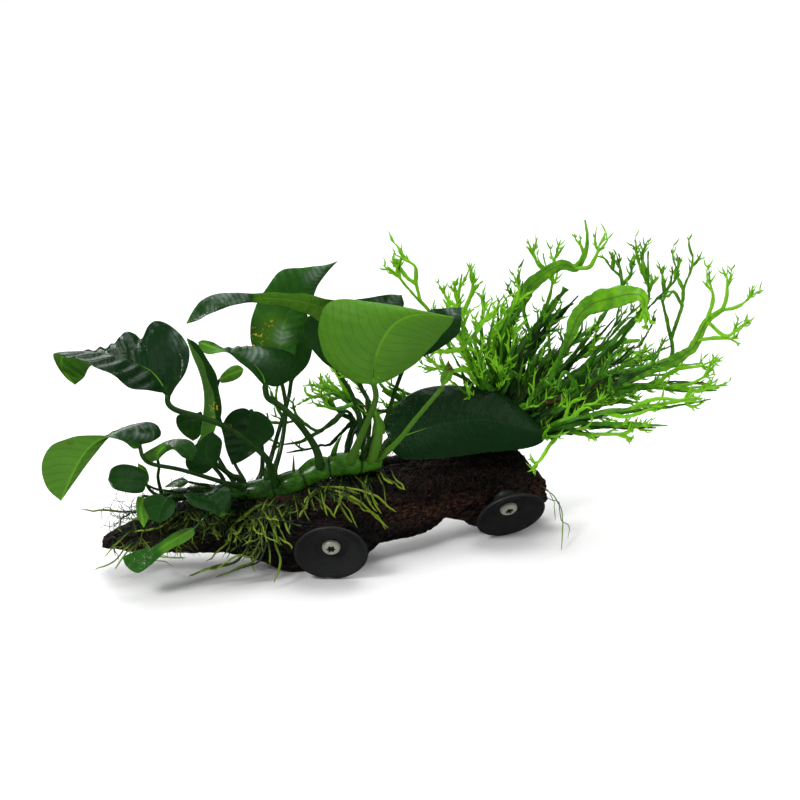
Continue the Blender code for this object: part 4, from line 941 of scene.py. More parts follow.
@dataclass
class SuctionCup:
    """One rubber cup and the pan-head screw that holds it to the log."""

    side: str
    around: int = 104
    dent: float = 0.0              # mm that the lip's foot is pushed in
    # Section of the rubber, closed: radius and height in mm.
    profile: Rows = (
        (2.7, -13.0), (6.3, -13.0), (6.5, -12.8), (6.5, -10.6), (6.9, -10.0), (8.6, -9.1), (11.0, -7.6),
        (14.0, -5.8), (17.0, -3.7), (19.2, -1.9), (19.9, -1.0), (20.0, -0.5), (19.8, -0.05), (19.3, 0.0),
        (18.6, -0.12), (17.6, -0.7), (15.6, -2.1), (13.0, -3.7), (10.6, -4.7), (9.2, -5.2), (8.5, -5.9),
        (8.0, -6.2), (6.0, -6.3), (2.7, -6.3),
    )
    # Screw head below its flat: radius in mm and depth under the head's top in mm.
    pan: Rows = ((3.9, 0.15), (4.4, 0.5), (4.8, 1.1), (4.97, 1.8))

    def turn(self, radius: Array, height: Array, angles: Array) -> Array:
        """Points in mm at radius, height and angle about the cup's axis.

        Args:
            radius: Array of radii in mm.
            height: Array of the same shape, mm from the rim outwards.
            angles: Array of the same shape, in radians.
        Returns:
            Array (..., 3) in mm.
        """
        axis = np.array(CUPS[self.side]["axis"])
        across = unit(np.cross(np.array([0.0, 0.0, 1.0]), axis))
        spoke = np.cos(angles)[..., None] * across + np.sin(angles)[..., None] * np.cross(axis, across)
        return np.array(CUPS[self.side]["centre"]) + height[..., None] * axis + radius[..., None] * spoke

    def rubber(self) -> Array:
        """Closed rings (profile turned about the axis), the lip pushed in by a dent at its foot.

        Returns:
            Array (n, m, 3) in mm.
        """
        table = along(np.array((*self.profile, self.profile[0])), np.linspace(0, 1, 104)[:-1])
        angles = round_angles(self.around)[:, None]
        radius = np.broadcast_to(table[:, 0], (self.around, len(table)))
        height = np.broadcast_to(table[:, 1], radius.shape)
        foot = np.exp(-((angles + math.pi / 2 + 0.1 - 2 * math.pi * (angles > math.pi / 2)) / 0.16) ** 2)
        shape = np.clip((radius - 14.0) / 6.0, 0, 1) ** 2 * foot * self.dent
        return self.turn(radius - shape, height, np.broadcast_to(angles, radius.shape))

    def build(self, rubber: Material, steel: Material) -> None:
        """Make the cup and its screw.

        Args:
            rubber: Material of the cup.
            steel: Material of the screw.
        """
        rings = self.rubber()
        mesh = bpy.data.meshes.new(f"suction_cup_{self.side}_rubber")
        index = np.arange(rings[..., 0].size).reshape(rings.shape[:2])
        nexts = np.roll(index, -1, 0)
        quads = np.stack([index, nexts, np.roll(nexts, -1, 1), np.roll(index, -1, 1)], -1).reshape(-1, 4)
        mesh.from_pydata(to_metres(rings).reshape(-1, 3), [], quads.tolist())
        mesh.shade_smooth()
        add_piece(mesh, rubber, f"suction_cup_{self.side}")
        self.build_screw(steel)

    def build_screw(self, steel: Material) -> None:
        """Make the screw: head profile turned round a six-lobed recess, and its shank.

        Args:
            steel: Material of the screw.
        """
        floor = -CUP_HOLLOW + GAP
        top = floor + SCREW_HEAD_HEIGHT
        inner, outer = np.array(RECESS_RADII)[::-1]
        angles = round_angles(96)[None]
        lobes = (inner + outer) / 2 + (outer - inner) / 2 * np.cos(RECESS_LOBES * angles)
        deep = top - RECESS_DEPTH
        rows = [(0.02 + 0 * lobes, deep), (0.6 * lobes, deep), (0.93 * lobes, deep + 0.05),
                (lobes, deep + 0.3), (lobes, top - 0.2), (1.05 * lobes, top - 0.02)]
        rows += [(lobes * (1 - share) + 3.3 * share, top + 0.02 * (1 - share)) for share in (0.3, 0.7, 1.0)]
        rows += [(0 * lobes + radius, top - fall) for radius, fall in self.pan]
        rows += [(0 * lobes + radius, height) for radius, height in (
            (5.0, floor + 0.25), (4.85, floor), (3.0, floor), (SCREW_SHANK_RADIUS, floor - 0.1),
            (SCREW_SHANK_RADIUS, floor - SCREW_REACH + 4.0), (0.4, floor - SCREW_REACH))]
        radius = np.concatenate([row for row, _ in rows])
        height = np.array([level for _, level in rows])[:, None] + 0 * radius
        # Painted shade: the recess's floor and walls, and the whole shank, are painted near-black.
        grime = np.zeros_like(radius)
        grime[:5] = ((1.0,), (1.0,), (1.0,), (0.95,), (0.5,))
        grime[-3:] = 1.0
        skin = Skin()
        skin.add(self.turn(radius, height, np.broadcast_to(angles, radius.shape)), grime=grime)
        add_piece(skin.mesh(f"cup_screw_{self.side}_head"), steel, f"cup_screw_{self.side}")


# ---------------------------------------------------------------- rhizomes

@dataclass
class Rhizome:
    """A creeping stem: segments that swell and step sideways between dark ring scars."""

    name: str
    route: Array                   # x, y, z and radius in mm
    knobs: int
    slot: str
    tone: tuple[float, float, float]
    swell: float = 0.24            # as a share of the radius
    sprouts: Rows = ()
    fullness: float = 1.25         # radius of the underside as a share of the route's
    scar_width: float = 0.04       # as a share of a segment
    rings: int = 320
    around: int = 40

    def build(self, finish: Material) -> None:
        """Make the stem, closed round its ends, and its pointed sprouts.

        Radius x (0.93 + swell sin^0.6) of the segment phase, and radius x fullness underneath; the
        middle steps by half the swell to alternate sides. A sprout (fraction, along x, up z, radius)
        curves up from the middle.

        Args:
            finish: Material of the stem.
        """
        fractions = np.linspace(0, 1, self.rings)
        table = along(self.route, fractions)
        phase = fractions * self.knobs
        part = phase % 1.0
        step = np.sin(math.pi * phase) * self.swell * 0.5
        table[:, 1] -= step * table[:, 3]
        table[:, 2] += 0.5 * step * table[:, 3]
        bulge = 0.93 + self.swell * np.sin(math.pi * np.clip(part, 0, 1)) ** 0.6
        ends = np.clip(np.minimum(fractions, 1 - fractions) / 0.02, 0.0, 1.0)
        radius = table[:, 3] * bulge * np.sqrt(ends * (2 - ends) + 0.02)
        rings = tubes(table[None, :, :3], radius[None], self.around)[0]
        spokes = rings - table[:, None, :3]
        lumps = fractal(rings / 8.0, 2, 7)
        low = smooth(-spokes[..., 2] / np.maximum(np.linalg.norm(spokes, axis=-1), 1e-6), 0.2, 0.9)
        fuller = 1 + low * (self.fullness / bulge[:, None] - 1) + 0.12 * lumps
        rings = table[:, None, :3] + spokes * fuller[..., None]
        scar = np.exp(-(part / self.scar_width) ** 2) + np.exp(-((part - 1.0) / self.scar_width) ** 2)
        skin = Skin()
        tone = np.interp(fractions, (0, 0.8, 1), self.tone)[:, None] + 0.3 * lumps
        skin.add(rings, tone=tone, scar=np.clip(scar, 0, 1)[:, None] * 0.85)
        for fraction, aside, up, thick in self.sprouts:
            share = np.linspace(0, 1, 20)[:, None]
            course = np.concatenate([aside * share ** 2, -0.5 * share, up * share], 1)
            middle = along(self.route, (fraction,))[0, :3] + course
            taper = thick * np.interp(share[:, 0], (0, 0.5, 0.9, 1), (1.2, 1.0, 0.4, 0.1))
            skin.add(tubes(middle[None], taper[None], 10)[0], tone=0.1 + 0.6 * share, scar=0.0)
        add_piece(skin.mesh(f"{self.name}_stem"), finish, self.name)


def stalk_foot(stem: Array, outward: Array) -> Array:
    """First two points of a stalk: inside its rhizome, and a little way out of its skin.

    Args:
        stem: Place and radius (4,) of the rhizome in mm.
        outward: Unit direction in which the stalk leaves it.
    Returns:
        Points (2, 3) in mm.
    """
    base = stem[:3] + outward * (stem[3] * 0.6)
    return np.stack([base, base + outward * (stem[3] * 0.4 + STALK_RISE)])


# ---------------------------------------------------------------- anubias leaves

class Seen(Enum):
    """Face of a blade that is turned to the viewpoint over most of its area."""

    TOP = 1
    UNDER = -1


def marked(seen: Array, marks: Marks) -> Array:
    """Mask of round marks: the sum of exp(-(distance / size)^4) over (column, row, size).

    Args:
        seen: Array (..., 2) of columns and rows.
        marks: Column, row and size in pixels of each mark.
    Returns:
        Array (...) from 0 to 1.
    """
    total = np.zeros(seen.shape[:-1])
    for column, row, size in marks:
        total += np.exp(-(np.hypot(seen[..., 0] - column, seen[..., 1] - row) / size) ** 4)
    return np.clip(total, 0.0, 1.0)


@dataclass
class Leaf:
    """One broad leaf: a round stalk that flows into a lens-shaped blade with a keeled midrib."""

    name: str
    stalk_radius: float            # mm
    arch: float                    # rise of the blade's halves as a share of their width
    stalk: Array                   # Spots of the stalk, the midrib and the two margins
    rib: Array
    left: Array
    right: Array
    seen: Seen = Seen.TOP
    tone: float = 0.3
    stem: float = 0.05             # brightness of the stalk
    skew: Range = (1.0, 1.0)       # exponents that run the left and right margin ahead
    flare: float = 0.9             # widening of the stalk at the rhizome, as a share of its radius
    join: float = 0.07             # share of the blade over which the round stalk flattens into it
    wave: float = 0.5              # mm of ripple at the margin
    ribs: float = 0.22             # mm of relief between the main side veins
    spacing: float = 5.2           # mm between those veins
    pale: Marks = ()
    dark: Marks = ()
    yellowed: Marks = ()
    browned: Marks = ()
    # marks of painted sheen: reflection painted into the colour of the top
    painted_sheen: Marks = ()
    around: int = 40
    thickness: float = 0.8         # mm
    vein_lean: float = 0.45        # mm that a vein runs ahead per mm from the midrib
    vein_bend: float = 0.012       # and per mm squared
    ripple_length: float = 17.0    # mm from wave to wave of the margin

    def lines(self, stations: Array) -> tuple[Array, Array, Array]:
        """Midrib, left and right margin (n, 3) at fractions of their own lengths, raised to skew.

        Args:
            stations: Fractions (n,) along the midrib.
        Returns:
            The three routes in mm.
        """
        first, last = self.rib[:1], self.rib[-1:]
        left, right = (along(place(np.vstack([first, margin, last])), stations ** power)
                       for margin, power in zip((self.left, self.right), self.skew))
        return along(place(self.rib), stations), left, right

    def blade_rings(self, stations: Array) -> tuple[Array, dict[str, Array]]:
        """Rings of the blade and what they carry.

        Across the blade t runs 1 (right margin) to -1 (left) as sign(cos a) |cos a|^1.6. A point
        is rib + |t| (margin - rib) + normal (arch 4 |t| (1 - |t|) width + half thickness, raised
        by the keel near the midrib). Veins follow lines of equal phase = s - vein_lean u -
        vein_bend u^2, with s mm along the midrib and u mm from it.

        Args:
            stations: Fractions (n,) along the midrib.
        Returns:
            Rings (n, m, 3) in mm and values (n, m) by name.
        """
        rib, left, right = self.lines(stations)
        rib_line = place(self.rib)
        ahead = unit(along(rib_line, stations + 0.03) - along(rib_line, stations - 0.03))
        chord = right - left
        normal = unit(np.cross(chord, ahead))
        facing = np.sum(normal * (EYE - rib) * np.linalg.norm(chord, axis=1)[:, None])
        top = self.seen.value * np.sign(facing)
        angle = round_angles(self.around)
        across = np.sign(np.cos(angle)) * np.abs(np.cos(angle)) ** 1.6
        share = np.abs(across)[None]
        margin = np.where(across[None, :, None] > 0, right[:, None], left[:, None])
        spoke = margin - rib[:, None]
        wide = np.linalg.norm(spoke, axis=-1)
        from_rib = wide * share
        run = stations[:, None] * length_of(along(rib_line, np.linspace(0, 1, 60)))
        phase = run - self.vein_lean * from_rib - self.vein_bend * from_rib ** 2
        keel = np.interp(stations, (0.0, 1.0), (self.stalk_radius, 0.35))[:, None]
        front = np.sin(angle)[None]
        lens = self.thickness / 2 * (1 - share ** 4) ** 0.5 * np.sign(front) * np.abs(front) ** 0.25
        ridge = (keel - self.thickness / 2) * np.exp(-(from_rib / 1.1) ** 2) * smooth(-front * top, -0.6, 0.4)
        lift = self.arch * 4 * share * (1 - share) * wide
        relief = np.sin(math.pi * np.clip(share, 0, 1)) ** 0.7 * smooth(wide, 3.0, 15.0)
        uneven = 0.35 + 1.3 * noise(np.stack([phase / 9.0, 0 * phase + across, 0 * phase], -1), 17)
        lift = lift + self.ribs * relief * uneven * np.cos(2 * math.pi * phase / self.spacing)
        ripple = self.wave * share ** 2 * np.clip(wide / 12.0, 0, 1)
        turns = 2 * math.pi * run / self.ripple_length
        lift = lift + ripple * np.sin(turns + np.where(across > 0, 0.7, 2.6))
        lift = lift + lens - ridge * np.sign(front)
        points = rib[:, None] + spoke * share[..., None] + normal[:, None] * lift[..., None]
        join = 1 - smooth(stations, 0.0, self.join)[:, None, None]
        side = unit(chord - ahead * np.sum(ahead * chord, axis=1, keepdims=True))
        turned = angle[None, :, None]
        circle = self.stalk_radius * (np.cos(turned) * side[:, None] + np.sin(turned) * normal[:, None])
        points = points * (1 - join) + (rib[:, None] + spoke * share[..., None] * 0.5 + circle) * join
        under = smooth(-front * top * np.ones_like(from_rib), -0.10, 0.10)
        return points, {"under": under, "phase": phase, "rib": from_rib, "stalk": join[..., 0] + 0 * phase}

    def stalk_rings(self, rhizome: Array, across: Array) -> Array:
        """Rings of the stalk, from the rhizome's skin to the blade's base.

        Args:
            rhizome: Route (n, 4) of the rhizome with its radius, mm.
            across: Unit direction of the blade's first ring, which the stalk's rings start at.
        Returns:
            Rings (n, m, 3) in mm.
        """
        line = place(np.vstack([self.stalk, self.rib[:1]]))
        fine = along(rhizome, np.linspace(0, 1, 80))
        nearest = fine[np.argmin(np.linalg.norm(fine[:, :3] - line[0], axis=1))]
        line = np.vstack([stalk_foot(nearest, unit(line[0] - nearest[:3])), line[1:]])
        length = length_of(line)
        fractions = np.linspace(0.0, 1.0 - 0.6 * self.stalk_radius / length, max(12, int(length / 1.6)))
        middle = along(line, fractions)
        ahead = directions(middle)
        side = unit(across - ahead * (ahead @ across)[:, None])
        upper = np.cross(side, ahead)
        angle = round_angles(self.around)[None, :, None]
        size = self.stalk_radius * (1.0 + self.flare * np.exp(-fractions * length / 13.0))[:, None, None]
        return middle[:, None] + size * (np.cos(angle) * side[:, None] + np.sin(angle) * upper[:, None])

    def build(self, rhizome: Array, finish: Material) -> None:
        """Make the leaf.

        Args:
            rhizome: Route (n, 4) of the rhizome with its radius, mm.
            finish: Material of the leaf.
        """
        count = int(np.clip(length_of(place(self.rib)) * 1.8, 30, 120))
        blade, values = self.blade_rings(np.linspace(0.004, 0.996, count))
        stalk = self.stalk_rings(rhizome, unit(blade[0, 0] - blade[0, self.around // 2]))
        rings = np.concatenate([stalk, blade])
        blank = np.zeros(stalk.shape[:2])
        carried = {key: np.concatenate([blank + (1.0 if key == "stalk" else 0.0), value])
                   for key, value in values.items()}
        seen = seen_at(rings)
        dark = marked(seen, self.dark)
        for key in ("yellowed", "browned", "painted_sheen"):
            carried[key] = marked(seen, getattr(self, key))
        carried["under"] = np.clip(carried["under"] + marked(seen, self.pale) - dark, 0, 1)
        tone = self.tone * (1 - 0.85 * dark)
        carried["tone"] = tone * (1 - carried["stalk"]) + self.stem * carried["stalk"]
        skin = Skin()
        skin.add(rings, **carried)
        add_piece(skin.mesh(f"{self.name}_blade"), finish, self.name)


# ---------------------------------------------------------------- fern fronds

@dataclass(frozen=True)
class Fan:
    """One order of forks: how wide, long and bright its fingers are and how far they part."""

    width: float                   # mm at the base of a finger
    length: Range                  # mm
    turns: Range                   # radians from the parent
    lift: float                    # brightness above the frond's own


@dataclass
class Frond:
    """One fern frond: a ruffled strap, its prongs and companions, and fans of fine forks."""

    name: str
    root: Range                    # fraction along the rhizome, and degrees from straight up
    strap: Array                   # Spots
    widths: tuple[float, ...]      # mm from the strap's base to its tip
    prongs: tuple[Array, ...] = ()
    tone: float = 0.75             # 0 deep green to 1 bright yellow-green, at the tips
    companions: int = 5
    slim: float = 0.7              # width of the companions as a share of the frond's
    forks: int = 3                 # first-order forks on each end
    dead: float = 0.04             # share of the fingers and companions whose tips are dead
    plain: bool = False            # a broad smooth ribbon whose own end carries no forks
    reach: Range = (0.5, 0.95)     # length of the companions as a share of the frond's
    # Spread and mean of the companions' bows and spread of their shifts: mm along x, y and z.
    bow: tuple[float, float, float] = (12.0, 8.0, 8.0)
    drift: tuple[float, float, float] = (3.0, 5.0, -4.0)
    shift: tuple[float, float, float] = (2.2, 1.2, 0.6)
    fans: tuple[Fan, Fan] = (Fan(1.7, (6.0, 12.0), (0.12, 0.5), 0.15), Fan(1.1, (2.5, 6.0), (0.35, 0.9), 0.3))
    thickness: float = 0.24        # half the strap's thickness in mm, away from its midrib
    seed: int = 0
    skin: Skin = field(default_factory=Skin)
    base: Array = field(default_factory=lambda: np.zeros(3))

    def shaded(self, points: Array) -> Array:
        """Share of the tone kept at points, a painted shade inside the tuft: it grows from 0.25 at the root
        to 1 past 60 mm.
        """
        return 0.25 + 0.75 * smooth(np.linalg.norm(points - self.base, axis=-1), 8.0, 60.0)

    def strap_line(self, rhizome: Array) -> Array:
        """Route (n, 3) of the strap from the rhizome's skin through its Spots.

        Args:
            rhizome: Route (n, 4) of the rhizome with its radius, mm.
        Returns:
            The route in mm.
        """
        fraction, degrees = self.root
        tilt = math.radians(degrees)
        foot = stalk_foot(along(rhizome, (fraction,))[0], np.array([0.0, math.sin(tilt), math.cos(tilt)]))
        return np.vstack([foot, place(self.strap)])

    def companion_lines(self, line: Array, draws: Draws) -> list[Array]:
        """Routes that leave beside the strap and open like a fan, each bent and cut short.

        Companion = the first part of the line, up to a random share within reach, plus a sideways
        shift and a bow that grows with the way along it.

        Args:
            line: Route (n, 3) of the strap.
            draws: Seeded random numbers.
        Returns:
            Routes (9, 3) in mm.
        """
        lines = []
        steps = np.linspace(0, 1, 9)[:, None]
        for _ in range(self.companions):
            route = along(line, np.linspace(0, draws.uniform(*self.reach), 9))
            nearest = route[:, 1].min() - 2.0
            bow = draws.normal(0, 1.0, 3) * self.bow + self.drift
            shift = draws.normal(0, 1.0, 3) * self.shift
            wobble = fractal(route / 11.0 + draws.uniform(0, 50, 3), 2)[:, None] * draws.normal(0, 6, 3)
            route = route + shift * smooth(steps, 0.0, 0.15) + bow * steps ** 1.6 + wobble * steps
            route[:, 1] = np.maximum(route[:, 1], nearest)
            lines.append(route)
        return lines

    def add_strap(self, line: Array, widths: Array, tones: Range, ruffle: float,
                  lobes: float = 1.0, dead: float = 0.0) -> Array:
        """Add a strap: a thin lens whose margins are lobed and wave across its face.

        Half width = widths / 2 x (0.92 + lobes (noise + teeth)); the face moves by ruffle |t|^1.5
        sin(run), and the strap twists about its midrib by up to about lobes radians.

        Args:
            line: Route (n, 3) in mm.
            widths: Widths in mm from base to tip.
            tones: Tone at the base and at the tip.
            ruffle: Height in mm of the waves.
            lobes: How deeply the margins are lobed and how far the strap twists.
            dead: How far the strap's end is dead, 0 to 1.
        Returns:
            Middles (m, 3) of the strap.
        """
        length = length_of(along(line, np.linspace(0, 1, 40)))
        fractions = np.linspace(0.0, 1.0, int(np.clip(length * 1.25, 14, 150)))
        middle = along(line, fractions)
        side, face = (row[:, None] for row in sides(directions(middle)))
        wide = np.interp(fractions, np.linspace(0, 1, len(widths)), widths)[:, None]
        angle = round_angles(12)[None]
        across = np.cos(angle)
        run = (fractions * length)[:, None]
        edge = np.where(across > 0, 0.0, 40.0)
        pick = 0 * run + self.seed + 0 * edge + length
        flutter = noise(np.stack([run / 4.5 + edge, 0 * run + edge, pick], -1), 5)
        teeth = noise(np.stack([run / 1.7 + edge, 0 * run + edge, pick], -1), 9)
        half = wide / 2 * (0.92 + lobes * (0.8 * (flutter - 0.5) + 0.5 * (teeth - 0.5)))
        twist = fractal(np.stack([run / 30.0, pick[:, :1], 0 * run], -1), 2, 3)
        twist = twist * 1.5 * lobes * smooth(run, 5, 25)
        cosine, sine = np.cos(twist)[..., None], np.sin(twist)[..., None]
        wave = ruffle * np.abs(across) ** 1.5 * np.sin(run / 2.3 + 6 * flutter + np.where(across > 0, 0, 2.2))
        wave = wave * np.clip(wide / 8.0, 0.1, 1.2)
        thick = np.minimum(self.thickness, wide / 2) * np.sin(angle)
        thick = thick * (1 + np.exp(-(half * across / 0.5) ** 2))
        rings = (middle[:, None] + (side * cosine + face * sine) * (half * across)[..., None]
                 + (face * cosine - side * sine) * (wave + thick)[..., None])
        tone = np.interp(fractions, (0, 0.3, 0.65, 1), (tones[0], 0.7 * tones[0] + 0.3 * tones[1],
                                                        0.3 * tones[0] + 0.7 * tones[1], tones[1]))
        tone = (tone[:, None] + 0.2 * (flutter - 0.5)) * self.shaded(rings)
        self.skin.add(rings, tone=tone, rib=np.abs(half * across) + 0.5 * np.clip(4.5 - wide, 0, 1),
                      dead=dead * smooth(fractions, 0.7, 0.85)[:, None] * smooth(teeth, 0.2, 0.6))
        return middle

    def add_forks(self, parents: Array, fan: Fan, share: int, draws: Draws) -> Array:
        """Add fingers that part from their parents to alternate sides and curve upwards.

        A finger is start + length (direction u + 0.5 rise u^2 + sway sin(pi u)); short parents
        carry shorter fingers.

        Args:
            parents: Routes (k, n, 3) in mm.
            fan: Form of the fingers.
            share: Fingers on each parent.
            draws: Seeded random numbers.
        Returns:
            Routes (k share, 7, 3) of the fingers.
        """
        kinds, steps = parents.shape[:2]
        total = kinds * share
        spot = (0.15 + 0.8 * draws.random(total)) * (steps - 1.001)
        row = np.repeat(np.arange(kinds), share)
        low = spot.astype(int)
        part = (spot - low)[:, None]
        start = parents[row, low] * (1 - part) + parents[row, low + 1] * part
        ahead = unit(parents[row, low + 1] - parents[row, low])
        side, face = sides(ahead)
        turn = draws.uniform(*fan.turns, total) * np.where(np.arange(total) % 2, -1, 1)
        tilt = draws.normal(0.0, 0.25, total)
        course = unit(ahead * np.cos(turn)[:, None] + side * np.sin(turn)[:, None] + face * tilt[:, None])
        spans = np.linalg.norm(np.diff(parents, axis=1), axis=-1).sum(1)
        size = (draws.uniform(*fan.length, total) * np.clip(spans[row] / 9.0, 0.4, 1.0))[:, None, None]
        u = np.linspace(0, 1, FINGER_POINTS)[:, None]
        sway = draws.normal(0.0, 0.08, (total, 1, 3))
        rise = np.array([0.0, 0.0, 1.0]) * draws.uniform(0.2, 1.0, total)[:, None]
        routes = start[:, None] + size * (course[:, None] * u + rise[:, None] * 0.5 * u ** 2
                                          + sway * np.sin(math.pi * u))
        taper = np.interp(u[:, 0], (0, 0.3, 0.6, 1), (0.7, 1.0, 0.7, 0.12))
        rings = tubes(routes, fan.width / 2 * taper * draws.uniform(0.75, 1.2, (total, 1)), 6, 0.4)
        dead = (draws.random(total) < self.dead)[:, None, None] * smooth(u, 0.3, 0.8)
        tone = self.tone + fan.lift - 0.15 + 0.2 * u[:, 0] + draws.normal(0, 0.08, (total, 1))
        self.skin.add(rings, tone=tone[..., None] * self.shaded(rings), rib=PAST_RIB, dead=dead)
        return routes

    def build(self, rhizome: Array, finish: Material) -> None:
        """Make the frond: strap, prongs, companions, and two orders of forks on all their ends.

        Args:
            rhizome: Route (n, 4) of the rhizome with its radius, mm.
            finish: Material of the frond.
        """
        draws = np.random.default_rng(self.seed)
        line = self.strap_line(rhizome)
        self.base = line[0]
        tip = self.tone
        middles = [self.add_strap(line, self.widths, (0.1, tip), 0.8, 0.3 if self.plain else 0.8)]
        for prong in self.prongs:
            route = place(prong)
            stems = np.vstack(middles)
            route[0] = stems[np.argmin(np.linalg.norm(stems - route[0], axis=1))]
            middles.append(self.add_strap(route, (2.2, 2.6, 1.0), (tip, tip + 0.15), 0.3, 0.6))
        for route in self.companion_lines(line, draws):
            slim = np.interp(np.linspace(0, 1, 6), np.linspace(0, 1, len(self.widths)), self.widths)
            slim = np.clip(slim * self.slim * draws.uniform(0.7, 1.4), 1.5, 4.6)
            slim[-1] = 0.8
            dead = float(draws.random() < 2 * self.dead)
            middles.append(self.add_strap(route, slim, (0.0, tip - draws.uniform(0.0, 0.6)), 0.9, 1.0, dead))
        ends = np.stack([along(middle, np.linspace(0.6, 1.0, 16)) for middle in middles[int(self.plain):]])
        forks = self.add_forks(ends, self.fans[0], self.forks, draws)
        self.add_forks(forks, self.fans[1], FINGERS_PER_FORK, draws)
        add_piece(self.skin.mesh(f"{self.name}_lace"), finish, self.name)


# ---------------------------------------------------------------- roots

@dataclass(frozen=True)
class Fringe:
    """A bed of fine roots: where they start, how long they run and how they look."""

    columns: Range                 # picture columns between which roots start
    rows: Range                    # rows below (or above) the rhizome's middle where they start
    count: int
    length: Range                  # picture pixels
    radius: Range                  # mm
    lift: Range                    # mm off the bark at the start and at the end
    curl: float = 0.5              # radians of turn along a root
    lean: float = 0.35             # radians that roots lean from straight down
    tone: Range = (0.4, 0.9)       # at the middle of the dullest and of the brightest root
    sides: int = 0                 # side roots on each root
    aim: float = 0.0               # radians from straight down, about which roots lean

    def lines(self, draws: Draws, samples: int) -> Array:
        """Routes (count, samples, 3) of the roots, on the bark and hanging past its lower edge.

        In the picture a root is a chain of five equal steps whose heading starts near straight
        down and turns by curl. Each point stands its lift off the bark; past the bark's
        silhouette it keeps the depth of the point before.

        Args:
            draws: Seeded random numbers.
            samples: Points on each route.
        Returns:
            The routes in mm.
        """
        steps = 6
        route = np.array(RHIZOME_ROUTE)
        column = draws.uniform(*self.columns, self.count)
        row = np.interp(column, route[:, 0], route[:, 1]) + draws.uniform(*self.rows, self.count)
        heading = (draws.normal(self.aim, self.lean, self.count)[:, None]
                   + draws.normal(0, self.curl, (self.count, 1)) * np.linspace(0, 1, steps - 1)
                   + draws.normal(0, 0.22, (self.count, steps - 1)))
        size = draws.uniform(*self.length, self.count)[:, None] / (steps - 1)
        zero = np.zeros((self.count, 1))
        columns = column[:, None] + np.concatenate([zero, np.cumsum(size * np.sin(heading), 1)], 1)
        rows = row[:, None] + np.concatenate([zero, np.cumsum(size * np.cos(heading), 1)], 1)
        rise = draws.uniform(0, 1.6, (self.count, 1)) * np.linspace(0, 1, steps)
        lift = np.linspace(*self.lift, steps) + rise
        points = on_wood(np.stack([columns, rows, lift], -1))
        for k in range(1, steps):
            loose = wood_distance(points[:, k]) > lift[:, k] + 0.5
            depth = np.where(loose, points[:, k - 1, 1], points[:, k, 1])
            points[:, k] = place(np.stack([columns[:, k], rows[:, k], depth], -1))
        points[..., 2] = np.maximum(points[..., 2], LOWEST)
        return curves(points, samples)


def side_roots(parents: Array, draws: Draws, share: int) -> Array:
    """Routes (k share, 8, 3) of short side roots that leave their parents at wide angles.

    A side root is start + size (u way - 0.25 u^2 up), with way the parent's heading plus a
    random vector of about its own length.

    Args:
        parents: Routes (k, n, 3) in mm.
        draws: Seeded random numbers.
        share: Side roots on each parent.
    Returns:
        The routes in mm.
    """
    kinds, steps = parents.shape[:2]
    row = np.repeat(np.arange(kinds), share)
    low = draws.integers(2, steps - 1, len(row))
    ahead = unit(parents[row, low + 1] - parents[row, low])
    way = unit(ahead + draws.normal(0, 0.75, ahead.shape))[:, None]
    size = draws.uniform(2.0, 6.0, (len(row), 1, 1))
    u = np.linspace(0, 1, SIDE_ROOT_POINTS)[None, :, None]
    routes = parents[row, low][:, None] + size * (way * u - np.array([0.0, 0.0, 0.25]) * u ** 2)
    routes[..., 2] = np.maximum(routes[..., 2], LOWEST)
    return routes


